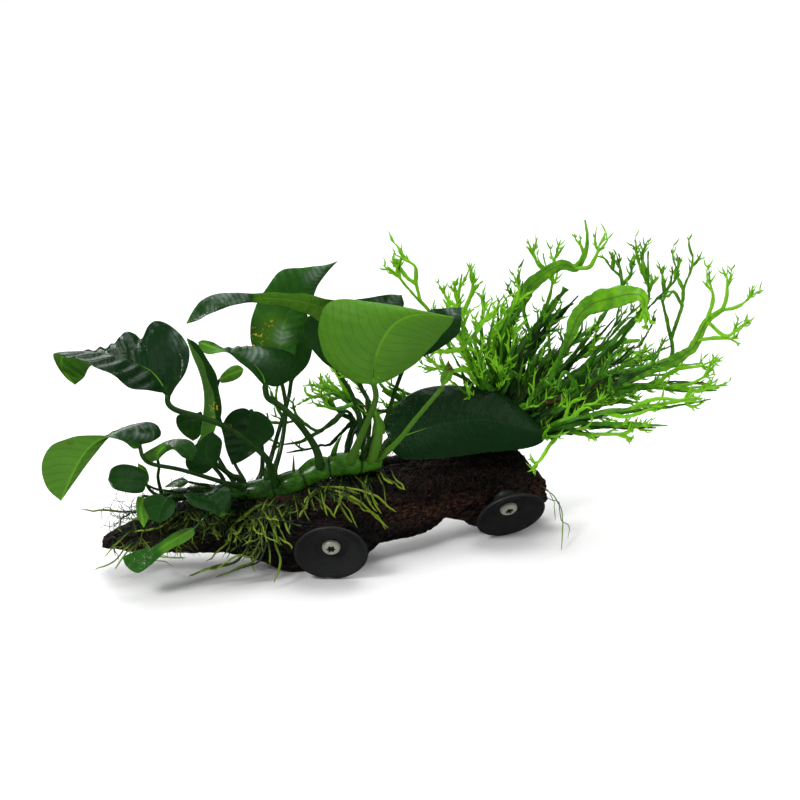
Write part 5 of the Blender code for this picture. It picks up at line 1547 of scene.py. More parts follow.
@dataclass
class RootTuft:
    """A tuft of roots: its main threads, and beds of finer ones."""

    name: str
    start: tuple[float, float, float]          # column, row and lift off the bark in mm
    radius: float                              # mm
    threads: tuple[tuple[Array, Array], ...]   # places over the bark, then Spots past its edge
    fringes: tuple[Fringe, ...] = ()
    seed: int = 0
    tone: float = 0.5
    extra: int = 2                             # finer copies beside each thread

    def thread(self, bark: Array, free: Array, copy: int, draws: Draws) -> Array:
        """Route (n, 3) of a thread (copy 0) or of a finer, shorter copy that strays from it.

        Args:
            bark: Columns, rows and lifts (k, 3) of its places over the bark.
            free: Spots (l, 3) of its places past the bark.
            copy: 0 for the thread, and the number of a copy.
            draws: Seeded random numbers.
        Returns:
            The route in mm.
        """
        stray = draws.normal(0, 5.0 if copy else 0.0, 2)
        chain = np.vstack([self.start, bark])
        chain[:, :2] += stray
        line = on_wood(chain)
        if len(free):
            loose = free.copy()
            loose[:, :2] += stray + draws.normal(0, 2.0 if copy else 0.0, loose[:, :2].shape)
            line = np.vstack([line, place(loose)])
        steps = np.linspace(0, 1, ROOT_POINTS)
        middle = along(line, np.linspace(0, draws.uniform(0.5, 1.0) if copy else 1.0, ROOT_POINTS))
        middle += (fractal(middle / 7.0 + copy, 2, self.seed)[:, None]
                   * draws.normal(0, 2.4 if copy else 1.0, 3) * smooth(steps, 0, 0.3)[:, None])
        middle[:, 2] = np.maximum(middle[:, 2], LOWEST)
        return middle

    def build(self, finish: Material) -> None:
        """Make the tuft: main threads with a few finer copies beside them, and the fringes.

        Args:
            finish: Material of the roots.
        """
        draws = np.random.default_rng(self.seed)
        skin = Skin()
        taper = np.interp(np.linspace(0, 1, ROOT_POINTS), (0, 0.8, 0.95, 1), (0.85, 1.0, 0.7, 0.3))
        for bark, free in self.threads:
            for copy in range(self.extra + 1):
                middle = self.thread(bark, free, copy, draws)
                radius = self.radius * (draws.uniform(0.4, 0.65) if copy else 0.7)
                tone = self.tone + draws.normal(0, 0.2) + np.linspace(-0.6, 0.4, ROOT_POINTS)[:, None]
                skin.add(tubes(middle[None], radius * taper[None], 7)[0], tone=tone, scar=0.0)
        for fringe in self.fringes:
            lines = fringe.lines(draws, ROOT_POINTS)
            radius = draws.uniform(*fringe.radius, fringe.count)[:, None] * taper
            shade = draws.uniform(*fringe.tone, fringe.count)[:, None, None]
            tone = shade + np.linspace(-0.5, 0.4, ROOT_POINTS)[None, :, None]
            skin.add(tubes(lines, radius, 5), tone=tone, scar=0.0)
            if fringe.sides:
                short = side_roots(lines, draws, fringe.sides)
                slim = np.repeat(radius[:, :1], fringe.sides, 0) * np.linspace(0.75, 0.3, SIDE_ROOT_POINTS)
                ramp = np.linspace(0.0, 0.3, SIDE_ROOT_POINTS)[None, :, None]
                skin.add(tubes(short, slim, 4), tone=np.repeat(shade, fringe.sides, 0) + ramp, scar=0.0)
        add_piece(skin.mesh(f"{self.name}_roots"), finish, self.name)


# ---------------------------------------------------------------- the set

@dataclass(frozen=True)
class Lamp:
    """A square soft light turned to the middle of the object."""

    name: str
    spot: tuple[float, float, float]   # m
    size: float                        # m
    power: float                       # W
    mirrored: bool                     # whether glossy skins show it

    def build(self) -> None:
        """Place the light."""
        light = bpy.data.lights.new(self.name, "AREA")
        light.size = self.size
        light.energy = self.power
        lamp = add_object(self.name, light)
        lamp.visible_glossy = self.mirrored
        lamp.location = self.spot
        aim = np.array([0.0, 0.0, 0.08]) - np.array(self.spot)
        lamp.rotation_euler = Euler((math.acos(-aim[2] / np.linalg.norm(aim)), 0.0,
                                     math.atan2(aim[1], aim[0]) - math.pi / 2))


@dataclass(frozen=True)
class Studio:
    """Pale floor and backdrop, soft lights, and the camera of the reference picture."""

    floor: Colour = (0.93, 0.93, 0.93)
    mirrored_floor: Colour = (0.03, 0.03, 0.03)
    black: Colour = (0.0, 0.0, 0.0)
    white: Colour = (1.0, 1.0, 1.0)
    mirrored_sky: Colour = (0.15, 0.15, 0.15)
    half_width: float = 4.0        # m
    front: float = 4.0             # m from the object to the floor's front edge
    back: float = 2.2              # m to where the backdrop starts to rise
    rise: float = 3.0              # m of the backdrop's height
    drop: float = 0.0002           # m from the object's soles down to the floor
    lamps: tuple[Lamp, ...] = (
        Lamp("key", (-0.9, -1.0, 1.2), 0.4, 15.0, True), Lamp("top", (0.1, 0.2, 1.5), 1.3, 14.5, False),
        Lamp("gloss", (0.1, 0.5, 1.4), 1.0, 6.0, True), Lamp("fill", (1.25, -0.45, 0.9), 1.3, 3.0, True),
        Lamp("rim", (-0.3, 1.2, 0.9), 0.7, 6.0, True),
    )

    def build(self) -> None:
        """Make the floor, the sky, the lights and the camera."""
        log.info("studio")
        self.build_floor(self.floor_finish())
        self.build_sky()
        for lamp in self.lamps:
            lamp.build()
        self.build_camera()

    def floor_finish(self) -> Material:
        """Pale and matt; it glows to the camera far out, and mirrors see it as dark.

        Returns:
            The material.
        """
        made, graph = start_finish("studio_floor", Roughness=0.9, Emission_Strength=0.65)
        path = graph.node("LightPath", {}).outputs
        places = graph.node("TexCoord", {}).outputs["Object"]
        away = graph.node("VectorMath", {0: places}, operation="LENGTH").outputs["Value"]
        glow = graph.times(graph.step(away, 0.7, 2.6), path["Is Camera Ray"])
        graph.dress(Base_Color=graph.mix(path["Is Glossy Ray"], self.floor, self.mirrored_floor),
                    Emission_Color=graph.mix(glow, self.black, self.white))
        return made

    def build_floor(self, finish: Material) -> None:
        """Make the floor, which bends up into the backdrop on a quarter circle of 1 m.

        Args:
            finish: Material of the floor.
        """
        mesh = bpy.data.meshes.new("studio_floor")
        arc = np.linspace(0, math.pi / 2, 24)
        bend = np.column_stack([self.back + np.sin(arc), 1 - np.cos(arc)])
        profile = np.vstack([[(-self.front, 0.0)], bend, [(self.back + 1.0, self.rise)]])
        edges = -self.half_width, self.half_width
        points = np.array([(x, y, z - self.drop) for y, z in profile for x in edges])
        row = np.arange(len(profile) - 1) * 2
        mesh.from_pydata(points, [], np.column_stack([row, row + 1, row + 3, row + 2]).tolist())
        mesh.shade_smooth()
        mesh.materials.append(finish)
        backdrop = add_object("studio_floor", mesh)

    def build_sky(self) -> None:
        """Make the white sky, which mirrors see as grey, and set the plain view."""
        world = bpy.data.worlds.new("studio")
        world.use_nodes = True
        sky = Graph(world.node_tree)
        background = world.node_tree.nodes["Background"]
        glossy = sky.node("LightPath", {}).outputs["Is Glossy Ray"]
        sky.put(background.inputs["Color"], sky.mix(glossy, self.white, self.mirrored_sky))
        background.inputs["Strength"].default_value = 0.35
        scene = bpy.context.scene
        scene.world = world
        scene.view_settings.view_transform = "Standard"

    def build_camera(self) -> None:
        """Make the camera: the picture's viewpoint, at the lens that gives PIXEL at its middle."""
        camera = bpy.data.cameras.new("camera")
        camera.sensor_width = 36.0
        camera.lens = camera.sensor_width / 2 / (PICTURE_MIDDLE * PIXEL / VIEW_DISTANCE)
        camera.clip_end = 20.0
        eye = add_object("camera", camera)
        eye.location = to_metres(EYE)
        eye.rotation_euler = (math.pi / 2 - VIEW_ELEVATION, 0.0, 0.0)
        bpy.context.scene.camera = eye


# ---------------------------------------------------------------- the plants

LEAVES = (
    Leaf("leaf_big_left", 1.5, 0.02, spots(274,478,-17, 266,458,-24, 243,438,-32, 224,426,-37, 200,417,-40,
        176,410,-42, 168,403,-42), spots(168,394,-40, 150,371,-42, 118,358,-46, 90,352,-44, 66,354,-41,
        61,367,-37, 75,385,-34), spots(151,391,-50, 134,389,-56, 124,384,-58, 110,374,-60, 94,366,-60,
        72,358,-55, 54,354,-46, 57,366,-40, 66,378,-36), spots(184,379,-36, 193,363,-32, 184,338,-25,
        170,325,-22, 156,321,-22, 148,326,-24, 142,338,-26, 135,334,-25, 124,333,-26, 114,345,-27,
        107,350,-27, 98,359,-27, 90,368,-28, 82,379,-31), skew=(1.0, 0.5), flare=1.0, tone=0.0, wave=0.6,
        ribs=1.0, spacing=7.4, painted_sheen=spots(180,338,10)),
    Leaf("leaf_far_left", 1.1, 0.05, spots(240,485,-19, 222,482,-26, 182,470,-36, 152,464,-45, 143,457,-49),
        spots(140,447,-48, 130,441,-53, 112,437,-58, 94,444,-58, 78,464,-55, 61,501,-48), spots(134,449,-54,
        124,442,-60, 111,438,-62, 94,435,-61, 70,438,-57, 52,445,-53, 42,463,-50, 46,487,-47),
        spots(160,437,-40, 160,428,-37, 152,423,-36, 138,424,-40, 122,430,-47, 112,436,-53, 104,443,-54,
        95,454,-54, 86,466,-53, 78,477,-51), seen=Seen.UNDER, tone=0.7, ribs=0.3, browned=spots(70,443,2),
        painted_sheen=spots(130,428,11, 147,430,9), dark=spots(150,434,15, 137,430,13, 125,432,9, 160,430,10)),
    Leaf("leaf_small_folded", 0.8, 0.05, spots(160,491,-21, 158,478,-36, 159,468,-40), spots(158,461,-41,
        159,452,-42, 170,445,-44, 184,449,-44, 192,461,-44), spots(147,462,-38, 142,455,-37, 155,447,-38,
        174,439,-38, 190,440,-40, 197,450,-42), spots(162,456,-44, 168,451,-47, 174,450,-49, 182,457,-48),
        tone=0.25, ribs=0.3, pale=spots(150,455,10, 160,447,6)),
    Leaf("leaf_round_small", 0.8, 0.08, spots(164,491,-22, 158,495,-34, 151,491,-46), spots(146,484,-51,
        128,480,-57, 108,480,-60), spots(143,492,-55, 129,493,-61, 114,489,-63), spots(147,474,-48,
        136,466,-50, 122,464,-53, 111,469,-57), tone=0.2, ribs=0.2, wave=0.8),
    Leaf("leaf_pale_sliver", 0.6, 0.05, spots(176,490,-21, 168,491,-27, 156,489,-33), spots(147,485,-39,
        144,474,-41, 138,463,-42), spots(142,480,-41, 138,470,-42), spots(149,478,-37, 146,468,-39),
        seen=Seen.UNDER, tone=0.6),
    Leaf("leaf_round_low", 0.8, 0.08, spots(190,498,-27, 181,496,-40, 173,496,-50), spots(168,498,-53,
        161,509,-57, 158,523,-59), spots(158,494,-55, 146,497,-58, 143,504,-60, 150,518,-60),
        spots(175,501,-50, 174,512,-53, 166,520,-57), tone=0.25, wave=0.8),
    Leaf("leaf_pale_point", 0.6, 0.05, spots(154,500,-23, 149,497,-36), spots(143,496,-45, 141,510,-48,
        144,528,-50), spots(137,498,-46, 136,509,-48, 139,520,-49), spots(147,502,-46, 149,516,-49),
        seen=Seen.UNDER, tone=0.5),
    Leaf("leaf_cupped", 0.8, 0.14, spots(246,496,-22, 238,495,-30), spots(231,494,-33, 212,501,-40,
        184,495,-47), spots(231,506,-36, 222,517,-44, 208,511,-49, 192,505,-51), spots(230,488,-29,
        217,486,-28, 204,493,-31, 193,494,-38), tone=0.1, pale=spots(224,517,4)),
    Leaf("leaf_edge_on", 0.6, 0.05, spots(208,486,-14, 198,484,-20), spots(189,482,-25, 178,483,-30,
        165,487,-34), spots(182,487,-33, 174,487,-36), spots(183,479,-19, 174,480,-23)),
    Leaf("leaf_hanging_low", 0.8, 0.06, spots(214,499,-26, 208,512,-38, 199,524,-43), spots(195,528,-44,
        181,536,-47, 166,545,-50, 152,555,-53, 137,560,-55, 122,557,-56), spots(190,528,-43, 178,531,-44,
        166,538,-46, 153,547,-49, 138,550,-52), spots(194,535,-47, 184,543,-50, 173,548,-53, 162,555,-56,
        150,566,-58, 138,573,-60, 127,567,-58), tone=0.65, wave=0.3, ribs=0.15, pale=spots(184,538,13,
        168,549,8)),
    Leaf("leaf_tall_crescent", 1.1, 0.05, spots(240,484,-9, 232,476,-11, 214,462,-14, 204,451,-15),
        spots(199,443,-16, 202,421,-14, 204,402,-12, 203,387,-11, 199,371,-11, 193,356,-12, 187,338,-14),
        spots(209,440,-22, 216,422,-22, 214,400,-20, 209,380,-18, 202,361,-17), spots(218,425,-7, 221,404,-4,
        219,386,-3, 214,371,-4, 205,354,-6, 196,343,-10), yellowed=spots(214,405,6, 216,420,4),
        pale=spots(206,440,13, 208,420,8, 206,402,7, 204,385,5)),
    Leaf("leaf_centre_left", 1.6, 0.08, spots(320,462,-14, 315,447,-15, 300,425,-18, 282,407,-19,
        268,398,-19), spots(265,387,-19, 260,372,-20, 244,358,-21, 222,351,-22, 198,342,-24),
        spots(259,380,-24, 252,373,-26, 240,362,-28, 227,353,-28, 208,354,-27, 200,348,-25),
        spots(282,385,-10, 297,373,-5, 295,357,-2, 278,349,-2, 253,346,-6, 228,350,-14, 213,342,-18,
        203,340,-22), tone=0.15, wave=0.6, ribs=0.5, pale=spots(205,348,8, 217,352,8),
        painted_sheen=spots(258,353,11)),
    Leaf("leaf_upright_back", 1.1, 0.06, spots(276,477,-7, 279,455,2, 283,436,7, 286,410,12, 284,393,15),
        spots(282,384,16, 279,350,18, 285,320,21, 302,290,25, 320,273,28, 338,261,30), spots(262,370,12,
        252,345,13, 250,325,15, 254,311,17, 264,291,20, 281,271,24, 306,267,28, 325,265,29), spots(292,366,18,
        297,344,22, 308,313,26, 316,290,29, 326,274,30), tone=0.62, wave=0.8, ribs=0.5,
        pale=spots(272,330,17), painted_sheen=spots(284,335,11, 320,276,16), yellowed=spots(259,334,8, 256,343,5,
        270,324,4)),
    Leaf("leaf_back_low", 1.1, 0.08, spots(268,480,-8, 271,458,6, 279,430,16, 288,400,26), spots(291,382,30,
        296,350,38, 292,318,46, 276,290,54), spots(272,372,30, 262,345,36, 260,315,44), spots(309,362,34,
        312,335,40, 302,305,48)),
    Leaf("leaf_long_left", 1.2, 0.03, spots(362,458,-1, 368,436,3, 369,404,5, 360,384,7, 352,345,8),
        spots(345,320,6, 312,304,3, 270,298,0, 230,300,-3, 207,307,-5, 186,324,-8), spots(332,330,10,
        318,321,10, 294,309,9, 258,303,3, 235,305,-4, 212,313,-8, 199,320,-9), spots(338,303,-1, 325,298,-3,
        294,293,-6, 254,293,-5, 222,293,-1, 203,299,0, 194,309,-3), seen=Seen.UNDER, tone=1.0,
        dark=spots(200,311,22, 226,301,19, 244,297,12), painted_sheen=spots(202,306,13, 222,299,12, 240,296,9)),
    Leaf("leaf_big_pale", 1.5, 0.1, spots(352,458,-9, 358,444,-9, 366,425,-9, 373,408,-9, 376,396,-8),
        spots(374,385,-7, 374,369,-11, 378,350,-15, 389,330,-17, 404,318,-15, 425,314,-10, 454,317,-3),
        spots(357,383,-6, 338,371,-6, 325,358,-7, 319,341,-8, 318,326,-9, 324,307,-10, 341,299,-10,
        373,302,-10, 405,307,-9, 434,313,-5), spots(388,381,-6, 400,374,-6, 414,365,-6, 430,349,-5,
        443,334,-3, 452,323,-2), flare=1.4, seen=Seen.UNDER, tone=0.8, stem=0.6, wave=0.3),
    Leaf("leaf_dark_behind", 1.2, 0.08, spots(356,456,9, 361,425,13, 352,395,17), spots(338,372,20,
        348,340,20, 372,312,20, 402,295,20), spots(321,360,17, 304,335,16, 309,316,16, 340,303,17,
        384,295,19), spots(362,362,22, 386,334,24, 403,308,23), tone=0.2, painted_sheen=spots(388,298,16)),
    Leaf("leaf_dark_right", 1.1, 0.08, spots(371,455,9, 384,425,11, 396,388,13), spots(406,362,15, 432,330,17,
        462,307,20), spots(404,335,16, 425,312,18, 445,308,20), spots(430,354,14, 452,340,15, 460,330,17),
        tone=0.1, painted_sheen=spots(440,311,15, 458,309,8)),
    Leaf("leaf_big_right", 1.5, 0.08, spots(380,455,6, 384,449,6), spots(388,441,7, 404,436,10, 440,425,18,
        490,420,25, 547,434,31), spots(384,428,12, 390,415,19, 402,400,25, 421,389,30, 449,385,34, 480,389,37,
        506,396,38, 530,416,36), spots(390,449,4, 405,459,5, 430,459,10, 460,456,17, 482,453,22, 523,449,28,
        541,443,30), tone=0.0, ribs=0.05, wave=0.3),
    Leaf("leaf_withered", 1.2, 0.05, spots(386,454,-4, 398,441,-4, 414,421,-4, 430,402,-4, 442,388,-4),
        spots(442,387,-4, 447,377,-4, 451,368,-5, 448,361,-6), spots(440,379,-4, 444,368,-5),
        spots(449,381,-5, 454,371,-6), flare=1.2, seen=Seen.UNDER, tone=0.9, stem=0.9,
        browned=spots(451,366,6)),
    Leaf("leaf_sheath", 2.6, 0.3, spots(375,454,-4, 377,442,-4), spots(378,434,-4, 378,420,-4, 374,407,-4),
        spots(375,433,-4, 375,420,-4), spots(383,437,-3, 383,423,-3), flare=0.3, join=0.9, seen=Seen.UNDER,
        tone=1.0, stem=0.9),
    Leaf("leaf_dark_upper", 0.9, 0.06, spots(233,483,-5, 224,468,-1, 209,440,8, 203,424,12, 201,415,12),
        spots(200,413,6, 193,424,1, 193,441,-3), spots(188,413,4, 177,416,1, 177,426,-2, 184,435,-4),
        spots(206,418,4, 204,427,1, 199,437,-2), tone=0.2),
    Leaf("leaf_dark_lower", 0.9, 0.06, spots(226,487,-17, 222,477,-19), spots(214,467,-21, 206,455,-23,
        207,441,-24, 212,431,-24), spots(203,474,-24, 188,469,-26, 186,456,-27, 197,443,-27),
        spots(220,456,-19, 222,441,-20), tone=0.2),
    Leaf("leaf_round_back", 1.0, 0.06, spots(258,485,-5, 262,470,5, 262,448,12, 258,430,14, 254,416,11),
        spots(251,410,6, 248,428,3, 243,443,0, 232,465,-5), spots(241,408,2, 230,413,-2, 223,426,-4,
        225,446,-6), spots(262,413,4, 271,422,4, 274,434,4, 263,446,1, 250,456,-3, 240,462,-4), tone=0.15,
        ribs=0.8, yellowed=spots(229,429,4)),
    Leaf("leaf_small_pale", 0.7, 0.06, spots(244,482,-4, 234,462,4, 223,430,9, 216,398,10), spots(219,380,10,
        230,374,10, 244,369,11), spots(222,374,10, 230,367,11, 238,365,11), spots(222,383,9, 233,381,9,
        241,376,10), seen=Seen.UNDER, tone=0.5),
)

FRONDS = (
    Frond("fern_frond_tall", (0.73, 15), spots(497,395,52, 499,348,54, 514,312,56, 532,284,58, 560,265,60,
        576,268,62, 586,250,62, 587,234,62, 585,220,62), (2.0, 4.5, 7.0, 8.5, 8.5, 8.5, 8.0, 6.5, 3.0, 1.2),
        (spots(574,271,61, 589,267,60, 596,256,60, 600,243,61), spots(585,256,62, 580,243,63)), companions=6,
        plain=True, reach=(0.2, 0.5)),
    Frond("fern_frond_cut", (0.755, -40), spots(510,400,45, 520,352,46, 545,316,47, 566,288,48), (2.0, 4.0,
        6.0, 6.0, 5.0), (spots(530,335,46, 524,310,48, 519,280,49), spots(522,310,48, 510,292,50)), tone=0.4,
        companions=18, slim=0.8, dead=0.12, reach=(0.55, 1.05)),
    Frond("fern_frond_broad", (0.805, -30), spots(542,390,40, 566,345,38, 577,318,38, 592,304,38, 612,298,40,
        632,294,39, 643,298,37, 645,313,35), (2.0, 2.2, 2.6, 3.0, 3.4, 4.5, 9.0, 13.5, 12.0, 2.0),
        (spots(645,310,35, 640,320,35), spots(645,310,35, 646,327,34), spots(645,308,35, 650,321,35)),
        tone=0.8, companions=10, dead=0.1, plain=True, reach=(0.25, 0.55)),
    Frond("fern_frond_side", (0.86, 10), spots(570,385,56, 614,348,58, 628,330,58, 652,304,59, 676,278,60,
        673,258,61), (2.0, 3.0, 3.0, 6.5, 2.4, 2.2, 1.2), (spots(664,292,59, 662,272,60), spots(676,280,60,
        679,262,61)), tone=0.5, companions=7, slim=0.9, dead=0.2, reach=(0.3, 0.75)),
    Frond("fern_frond_long_right", (0.94, -5), spots(570,412,36, 605,393,34, 640,373,33, 669,363,33,
        693,347,33, 706,322,34, 724,309,35), (2.0, 4.0, 5.0, 5.0, 4.5, 8.0, 6.0, 3.0), (spots(722,311,35,
        727,295,36, 727,277,37), spots(722,311,35, 737,307,34, 749,299,33), spots(708,322,34, 713,298,36,
        709,279,37), spots(696,340,33, 723,338,32, 735,341,32), spots(708,323,34, 726,336,31, 742,325,30)),
        tone=0.8, companions=7, dead=0.1, plain=True, reach=(0.25, 0.6)),
    Frond("fern_frond_forked", (0.91, 35), spots(580,400,60, 640,372,63, 671,358,64, 668,326,66, 661,296,67),
        (2.0, 3.0, 3.0, 2.8, 2.6, 1.6), (spots(669,340,65, 682,305,67, 684,288,68, 692,268,69, 693,254,69),
        spots(682,305,67, 674,292,68, 668,297,68), spots(684,290,68, 677,276,68)), tone=0.55, slim=0.9,
        dead=0.1, reach=(0.3, 0.65)),
    Frond("fern_frond_back_fork", (0.825, 45), spots(560,370,66, 600,320,68, 622,284,70, 611,268,71,
        605,259,71), (2.0, 3.5, 3.5, 3.0, 2.0, 1.2), (spots(612,270,71, 614,256,72), spots(622,285,70,
        630,276,71, 632,265,71), spots(620,283,70, 619,263,71)), tone=0.5, slim=0.9, reach=(0.3, 0.65)),
    Frond("fern_frond_mid_fork", (0.885, -40), spots(580,375,50, 630,322,52, 648,301,52, 648,278,53,
        648,251,54), (2.0, 3.0, 3.5, 3.0, 2.4, 1.2), (spots(647,285,53, 641,268,54, 636,256,54),
        spots(648,282,53, 643,264,54, 643,253,54), spots(648,292,52, 653,280,53)), tone=0.5, companions=7,
        slim=0.9, dead=0.2, reach=(0.3, 0.75)),
    Frond("fern_frond_low", (0.995, 0), spots(562,431,34, 589,434,30, 612,434,27, 622,435,26), (1.6, 3.0, 3.0,
        2.8, 1.8), (spots(620,435,26, 633,430,25), spots(619,435,26, 629,438,25), spots(562,431,34,
        551,444,24, 541,459,12, 533,467,4), spots(562,431,34, 566,416,30, 569,406,28, 576,400,28)), tone=1.0,
        companions=0),
    Frond("fern_frond_lower_right", (0.965, -50), spots(562,422,29, 600,413,24, 640,407,21, 697,399,18), (1.8,
        3.0, 3.0, 2.4, 1.4), (spots(630,408,22, 655,399,20, 700,402,18), spots(600,413,24, 628,416,22,
        662,405,21)), tone=0.85, companions=7, slim=1.0, reach=(0.4, 0.95)),
    Frond("fern_frond_right", (0.965, 40), spots(565,408,41, 602,396,38, 640,386,36, 680,388,34, 726,385,32),
        (1.8, 5.0, 6.0, 4.0, 2.4, 1.2), (spots(668,388,34, 690,384,34, 709,374,34), spots(655,387,35,
        675,370,36, 699,366,37, 712,361,37), spots(680,388,34, 700,391,32, 712,386,31)), companions=9,
        slim=0.8),
    Frond("fern_frond_crossing", (0.915, -75), spots(566,404,31, 592,382,26, 612,372,21, 636,370,20), (1.8,
        4.0, 5.0, 4.0, 2.0), (spots(575,392,24, 566,372,22, 558,382,20), spots(610,372,21, 609,388,18),
        spots(625,371,20, 650,366,20, 656,353,21)), tone=0.35, companions=14, slim=0.9, dead=0.12),
    Frond("fern_tuft_top_left", (0.6, 0), spots(466,390,46, 448,345,40, 433,316,36, 413,294,34, 396,274,34,
        387,266,34), (1.6, 2.5, 2.5, 2.5, 3.0, 2.0, 1.0), (spots(397,276,34, 397,265,35), spots(420,302,35,
        416,282,36, 415,266,36, 400,258,37), spots(416,284,36, 405,275,36, 399,264,36)), tone=0.95,
        companions=0),
    Frond("fern_tuft_top_middle", (0.66, 30), spots(480,380,54, 466,335,52, 458,306,50, 462,274,50), (1.6,
        3.0, 3.0, 3.0, 1.2), (spots(459,308,50, 448,300,51, 444,293,52), spots(460,303,50, 454,289,51),
        spots(462,318,50, 471,295,50, 474,273,51), spots(469,299,50, 476,288,51)), tone=0.85, companions=2,
        slim=0.9),
    Frond("fern_tuft_bright", (0.64, -40), spots(484,395,43, 469,362,34, 462,335,27, 470,308,27), (1.6, 4.0,
        4.5, 3.0, 1.2), (spots(466,350,28, 446,352,25, 428,344,24), spots(464,342,27, 448,330,25),
        spots(464,350,28, 478,330,27, 492,312,28), spots(474,374,33, 450,370,28, 432,368,26)), tone=0.85,
        companions=10, slim=0.9, forks=4, reach=(0.6, 1.0)),
    Frond("fern_tuft_bright_right", (0.7, -15), spots(496,390,46, 488,355,40, 492,325,40, 500,300,42), (1.6,
        4.0, 4.0, 3.0, 1.2), (spots(488,350,40, 476,338,40, 478,322,40), spots(490,340,40, 503,322,41,
        508,308,42)), tone=0.7, companions=9, slim=0.9, reach=(0.6, 1.0)),
    Frond("fern_frond_upper_back", (0.775, 50), spots(524,380,66, 540,325,68, 552,285,70, 545,263,70,
        543,253,70), (2.0, 4.0, 4.0, 3.0, 2.0, 1.0), (spots(549,280,70, 538,264,70, 533,250,70),
        spots(551,282,70, 554,263,71, 557,252,71)), tone=0.9, companions=4, slim=0.9, reach=(0.35, 0.7)),
    Frond("fern_tuft_left", (0.15, 0), spots(366,430,24, 363,412,22, 350,397,20, 334,390,19, 315,387,18),
        (1.6, 2.5, 3.0, 3.0, 2.5, 1.0), (spots(340,393,19, 329,381,18), spots(350,398,20, 341,382,20,
        337,374,20), spots(356,402,21, 338,409,21, 323,406,21), spots(328,389,19, 322,383,18)), tone=0.85,
        companions=7, slim=0.8, reach=(0.65, 1.05)),
    Frond("fern_runner", (0.03, 0), spots(352,420,26, 344,411,24, 334,421,22, 318,431,24, 300,421,26,
        286,423,27, 270,422,27, 267,413,27), (1.4, 2.5, 3.5, 3.5, 3.0, 2.0, 1.6, 1.6, 1.0), (spots(303,422,26,
        297,416,26, 294,409,26), spots(325,426,23, 302,441,25, 279,445,26), spots(286,423,27, 277,405,27,
        276,389,27)), tone=0.5, companions=1, slim=0.8, forks=2),
    Frond("fern_frond_behind_leaf", (0.5, 0), spots(450,414,56, 425,406,50, 403,400,46, 383,389,43), (2.0,
        5.0, 6.5, 6.0, 3.0), (spots(440,411,54, 412,396,52, 388,383,50), spots(405,401,46, 392,409,45,
        376,414,44))),
    Frond("fern_frond_rear", (0.875, 75), spots(540,395,82, 570,362,94, 610,345,104, 640,340,112), (2.0, 6.0,
        8.0, 6.0, 2.0), (spots(610,345,104, 632,352,112, 650,356,118), spots(618,344,106, 632,325,112,
        644,312,116))),
    Frond("fern_frond_rear_left", (0.56, 50), spots(486,395,84, 470,362,96, 452,345,104, 440,332,110), (2.0,
        6.0, 8.0, 6.0, 2.0), (spots(456,348,102, 440,352,108, 428,350,114), spots(448,342,106, 452,322,112,
        448,310,114))),
)

ROOT_TUFTS = (
    RootTuft("root_tuft_middle", (268,503,2), 1.0, ((spots(262,514,3.2, 250,538,3.4), spots()),
        (spots(270,514,2.8, 274,532,2.8), spots()), (spots(279,510,2.4, 291,534,2.6), spots()),
        (spots(255,507,3.2, 240,519,3.2, 226,533,3), spots()), (spots(266,518,3, 266,542,3.6),
        spots(260,561,-38, 243,567,-40, 216,577,-42)), (spots(272,517,3, 275,543,3.6), spots(281,562,-37,
        274,582,-41)), (spots(258,515,3.6, 250,543,5), spots(236,561,-36, 212,567,-40, 189,575,-42))),
        (Fringe((205,300), (5,16), 34, (16,44), (0.28,0.52), (0.8,3.5), 0.8, 0.6, (-0.25,0.5), 3),
        Fringe((222,285), (20,54), 30, (16,38), (0.32,0.6), (1.5,5.0), 0.9, 0.8, (-0.1,0.8), 3),
        Fringe((200,300), (2,30), 70, (8,24), (0.12,0.24), (0.4,2.5), 1.6, 1.3, (-0.4,0.2), 1))),
    RootTuft("root_tuft_right", (320,487,2), 0.9, ((spots(310,499,2.6, 301,519,2.6), spots()),
        (spots(322,500,2.6, 327,516,2.6), spots()), (spots(333,496,2.6, 352,523,2.8), spots()),
        (spots(343,494,2.8, 366,507,2.8, 388,528,3.4), spots()), (spots(350,488,3, 376,497,3.2, 396,512,3.6),
        spots())), (Fringe((287,372), (4,10), 30, (18,40), (0.26,0.52), (0.8,4.0), 0.5, 0.3, (-0.4,0.4), 0,
        0.15), Fringe((330,386), (5,12), 10, (28,52), (0.34,0.6), (1.2,5.0), 0.3, 0.3, (0.0,0.8), 0, 0.35),
        Fringe((290,380), (2,18), 50, (8,22), (0.12,0.24), (0.3,2.0), 1.6, 1.3, (-0.4,0.3), 1))),
    RootTuft("root_mass_left", (196,508,2), 0.9, ((spots(180,514,2.4, 158,528,2.4, 134,532,2.6), spots()),
        (spots(174,511,3), spots(142,512,-38, 112,511,-44, 81,511,-48)), (spots(206,518,2.4, 219,540,2.8),
        spots()), (spots(190,518,2.4, 181,536,2.6), spots()), (spots(214,512,2.8, 236,515,2.8), spots())),
        (Fringe((112,250), (-4,34), 230, (12,34), (0.12,0.24), (0.4,5.0), 1.9, 1.6, (-0.7,0.1), 1),
        Fringe((120,250), (6,30), 34, (14,32), (0.2,0.36), (0.8,5.0), 1.2, 0.9, (-0.4,0.4), 2))),
    RootTuft("root_tendrils_low", (141,538,2), 0.7, ((spots(130,541,4), spots(116,558,-32, 96,571,-36)),
        (spots(), spots(127,552,-32, 115,569,-36)), (spots(), spots(160,556,-36, 186,559,-38))),
        (Fringe((112,190), (34,44), 18, (10,26), (0.18,0.36), (0.8,3.0), 1.0, 0.9, (0.0,0.6), 2),)),
    RootTuft("root_hair_right", (545,489,1.6), 0.5, ((spots(), spots(555,498,40, 562,515,30, 562,535,18,
        562,550,8)),)),
)

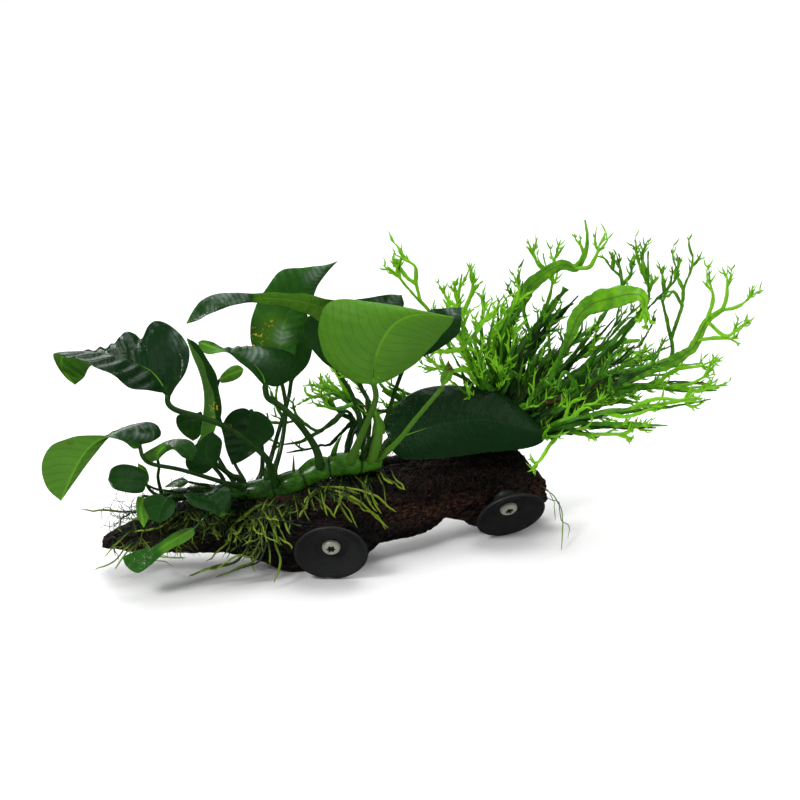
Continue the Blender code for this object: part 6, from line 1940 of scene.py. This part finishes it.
# Fine fibres on the log's crest, and what the rhizomes and roots wear.
WOOD_FIBRES = (
    Fringe((384, 512), (-4, 24), 170, (16, 46), (0.10, 0.20), (0.2, 1.0), 2.0, 1.8, (0.0, 0.9)),
    Fringe((300, 384), (6, 16), 60, (14, 34), (0.12, 0.22), (0.2, 1.2), 1.6, 1.4, (0.0, 0.6)),
)
RHIZOME_SPROUTS = (0.765, 5.5, 18.0, 1.5), (0.585, 0.3, 16.0, 0.8)
GREEN_SKIN = StemFinish("rhizome_skin", (0.003, 0.016, 0.002), (0.052, 0.190, 0.010),
                        (0.003, 0.004, 0.002), 0.14, 0.05)
SCALY_SKIN = StemFinish("fern_rhizome_skin", (0.006, 0.004, 0.003), (0.020, 0.026, 0.007),
                        (0.004, 0.003, 0.002), 0.6, 0.5)
ROOT_SKIN = StemFinish("root_skin", (0.005, 0.016, 0.003), (0.200, 0.310, 0.014), (0.02, 0.01, 0.01), 0.35)


def main() -> None:
    """Build the studio, the log, the cups and every plant piece in turn."""
    Studio().build()
    Driftwood(WOOD_FIBRES).build(WoodFinish().build())
    rubber, steel = RubberFinish().build(), SteelFinish().build()
    SuctionCup("left", dent=1.3).build(rubber, steel)
    SuctionCup("right").build(rubber, steel)
    anubias, fern = anubias_rhizome(), fern_rhizome()
    Rhizome("anubias_rhizome", anubias, 8, "rhizome", (0.0, 0.6, 1.5), 0.36, RHIZOME_SPROUTS).build(
        GREEN_SKIN.build())
    Rhizome("fern_rhizome", fern, 14, "fern_rhizome", (0.3, 0.3, 0.4)).build(SCALY_SKIN.build())
    finish = LeafFinish().build()
    for leaf in LEAVES:
        leaf.build(anubias, finish)
    finish = FernFinish().build()
    for order, frond in enumerate(FRONDS):
        frond.seed = FIRST_FROND_SEED + order
        frond.build(fern, finish)
    finish = ROOT_SKIN.build()
    for order, tuft in enumerate(ROOT_TUFTS):
        tuft.seed = FIRST_ROOT_SEED + order
        tuft.build(finish)


if __name__ == "__main__":
    logging.basicConfig(level=logging.INFO, format="%(message)s")
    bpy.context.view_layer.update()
    main()
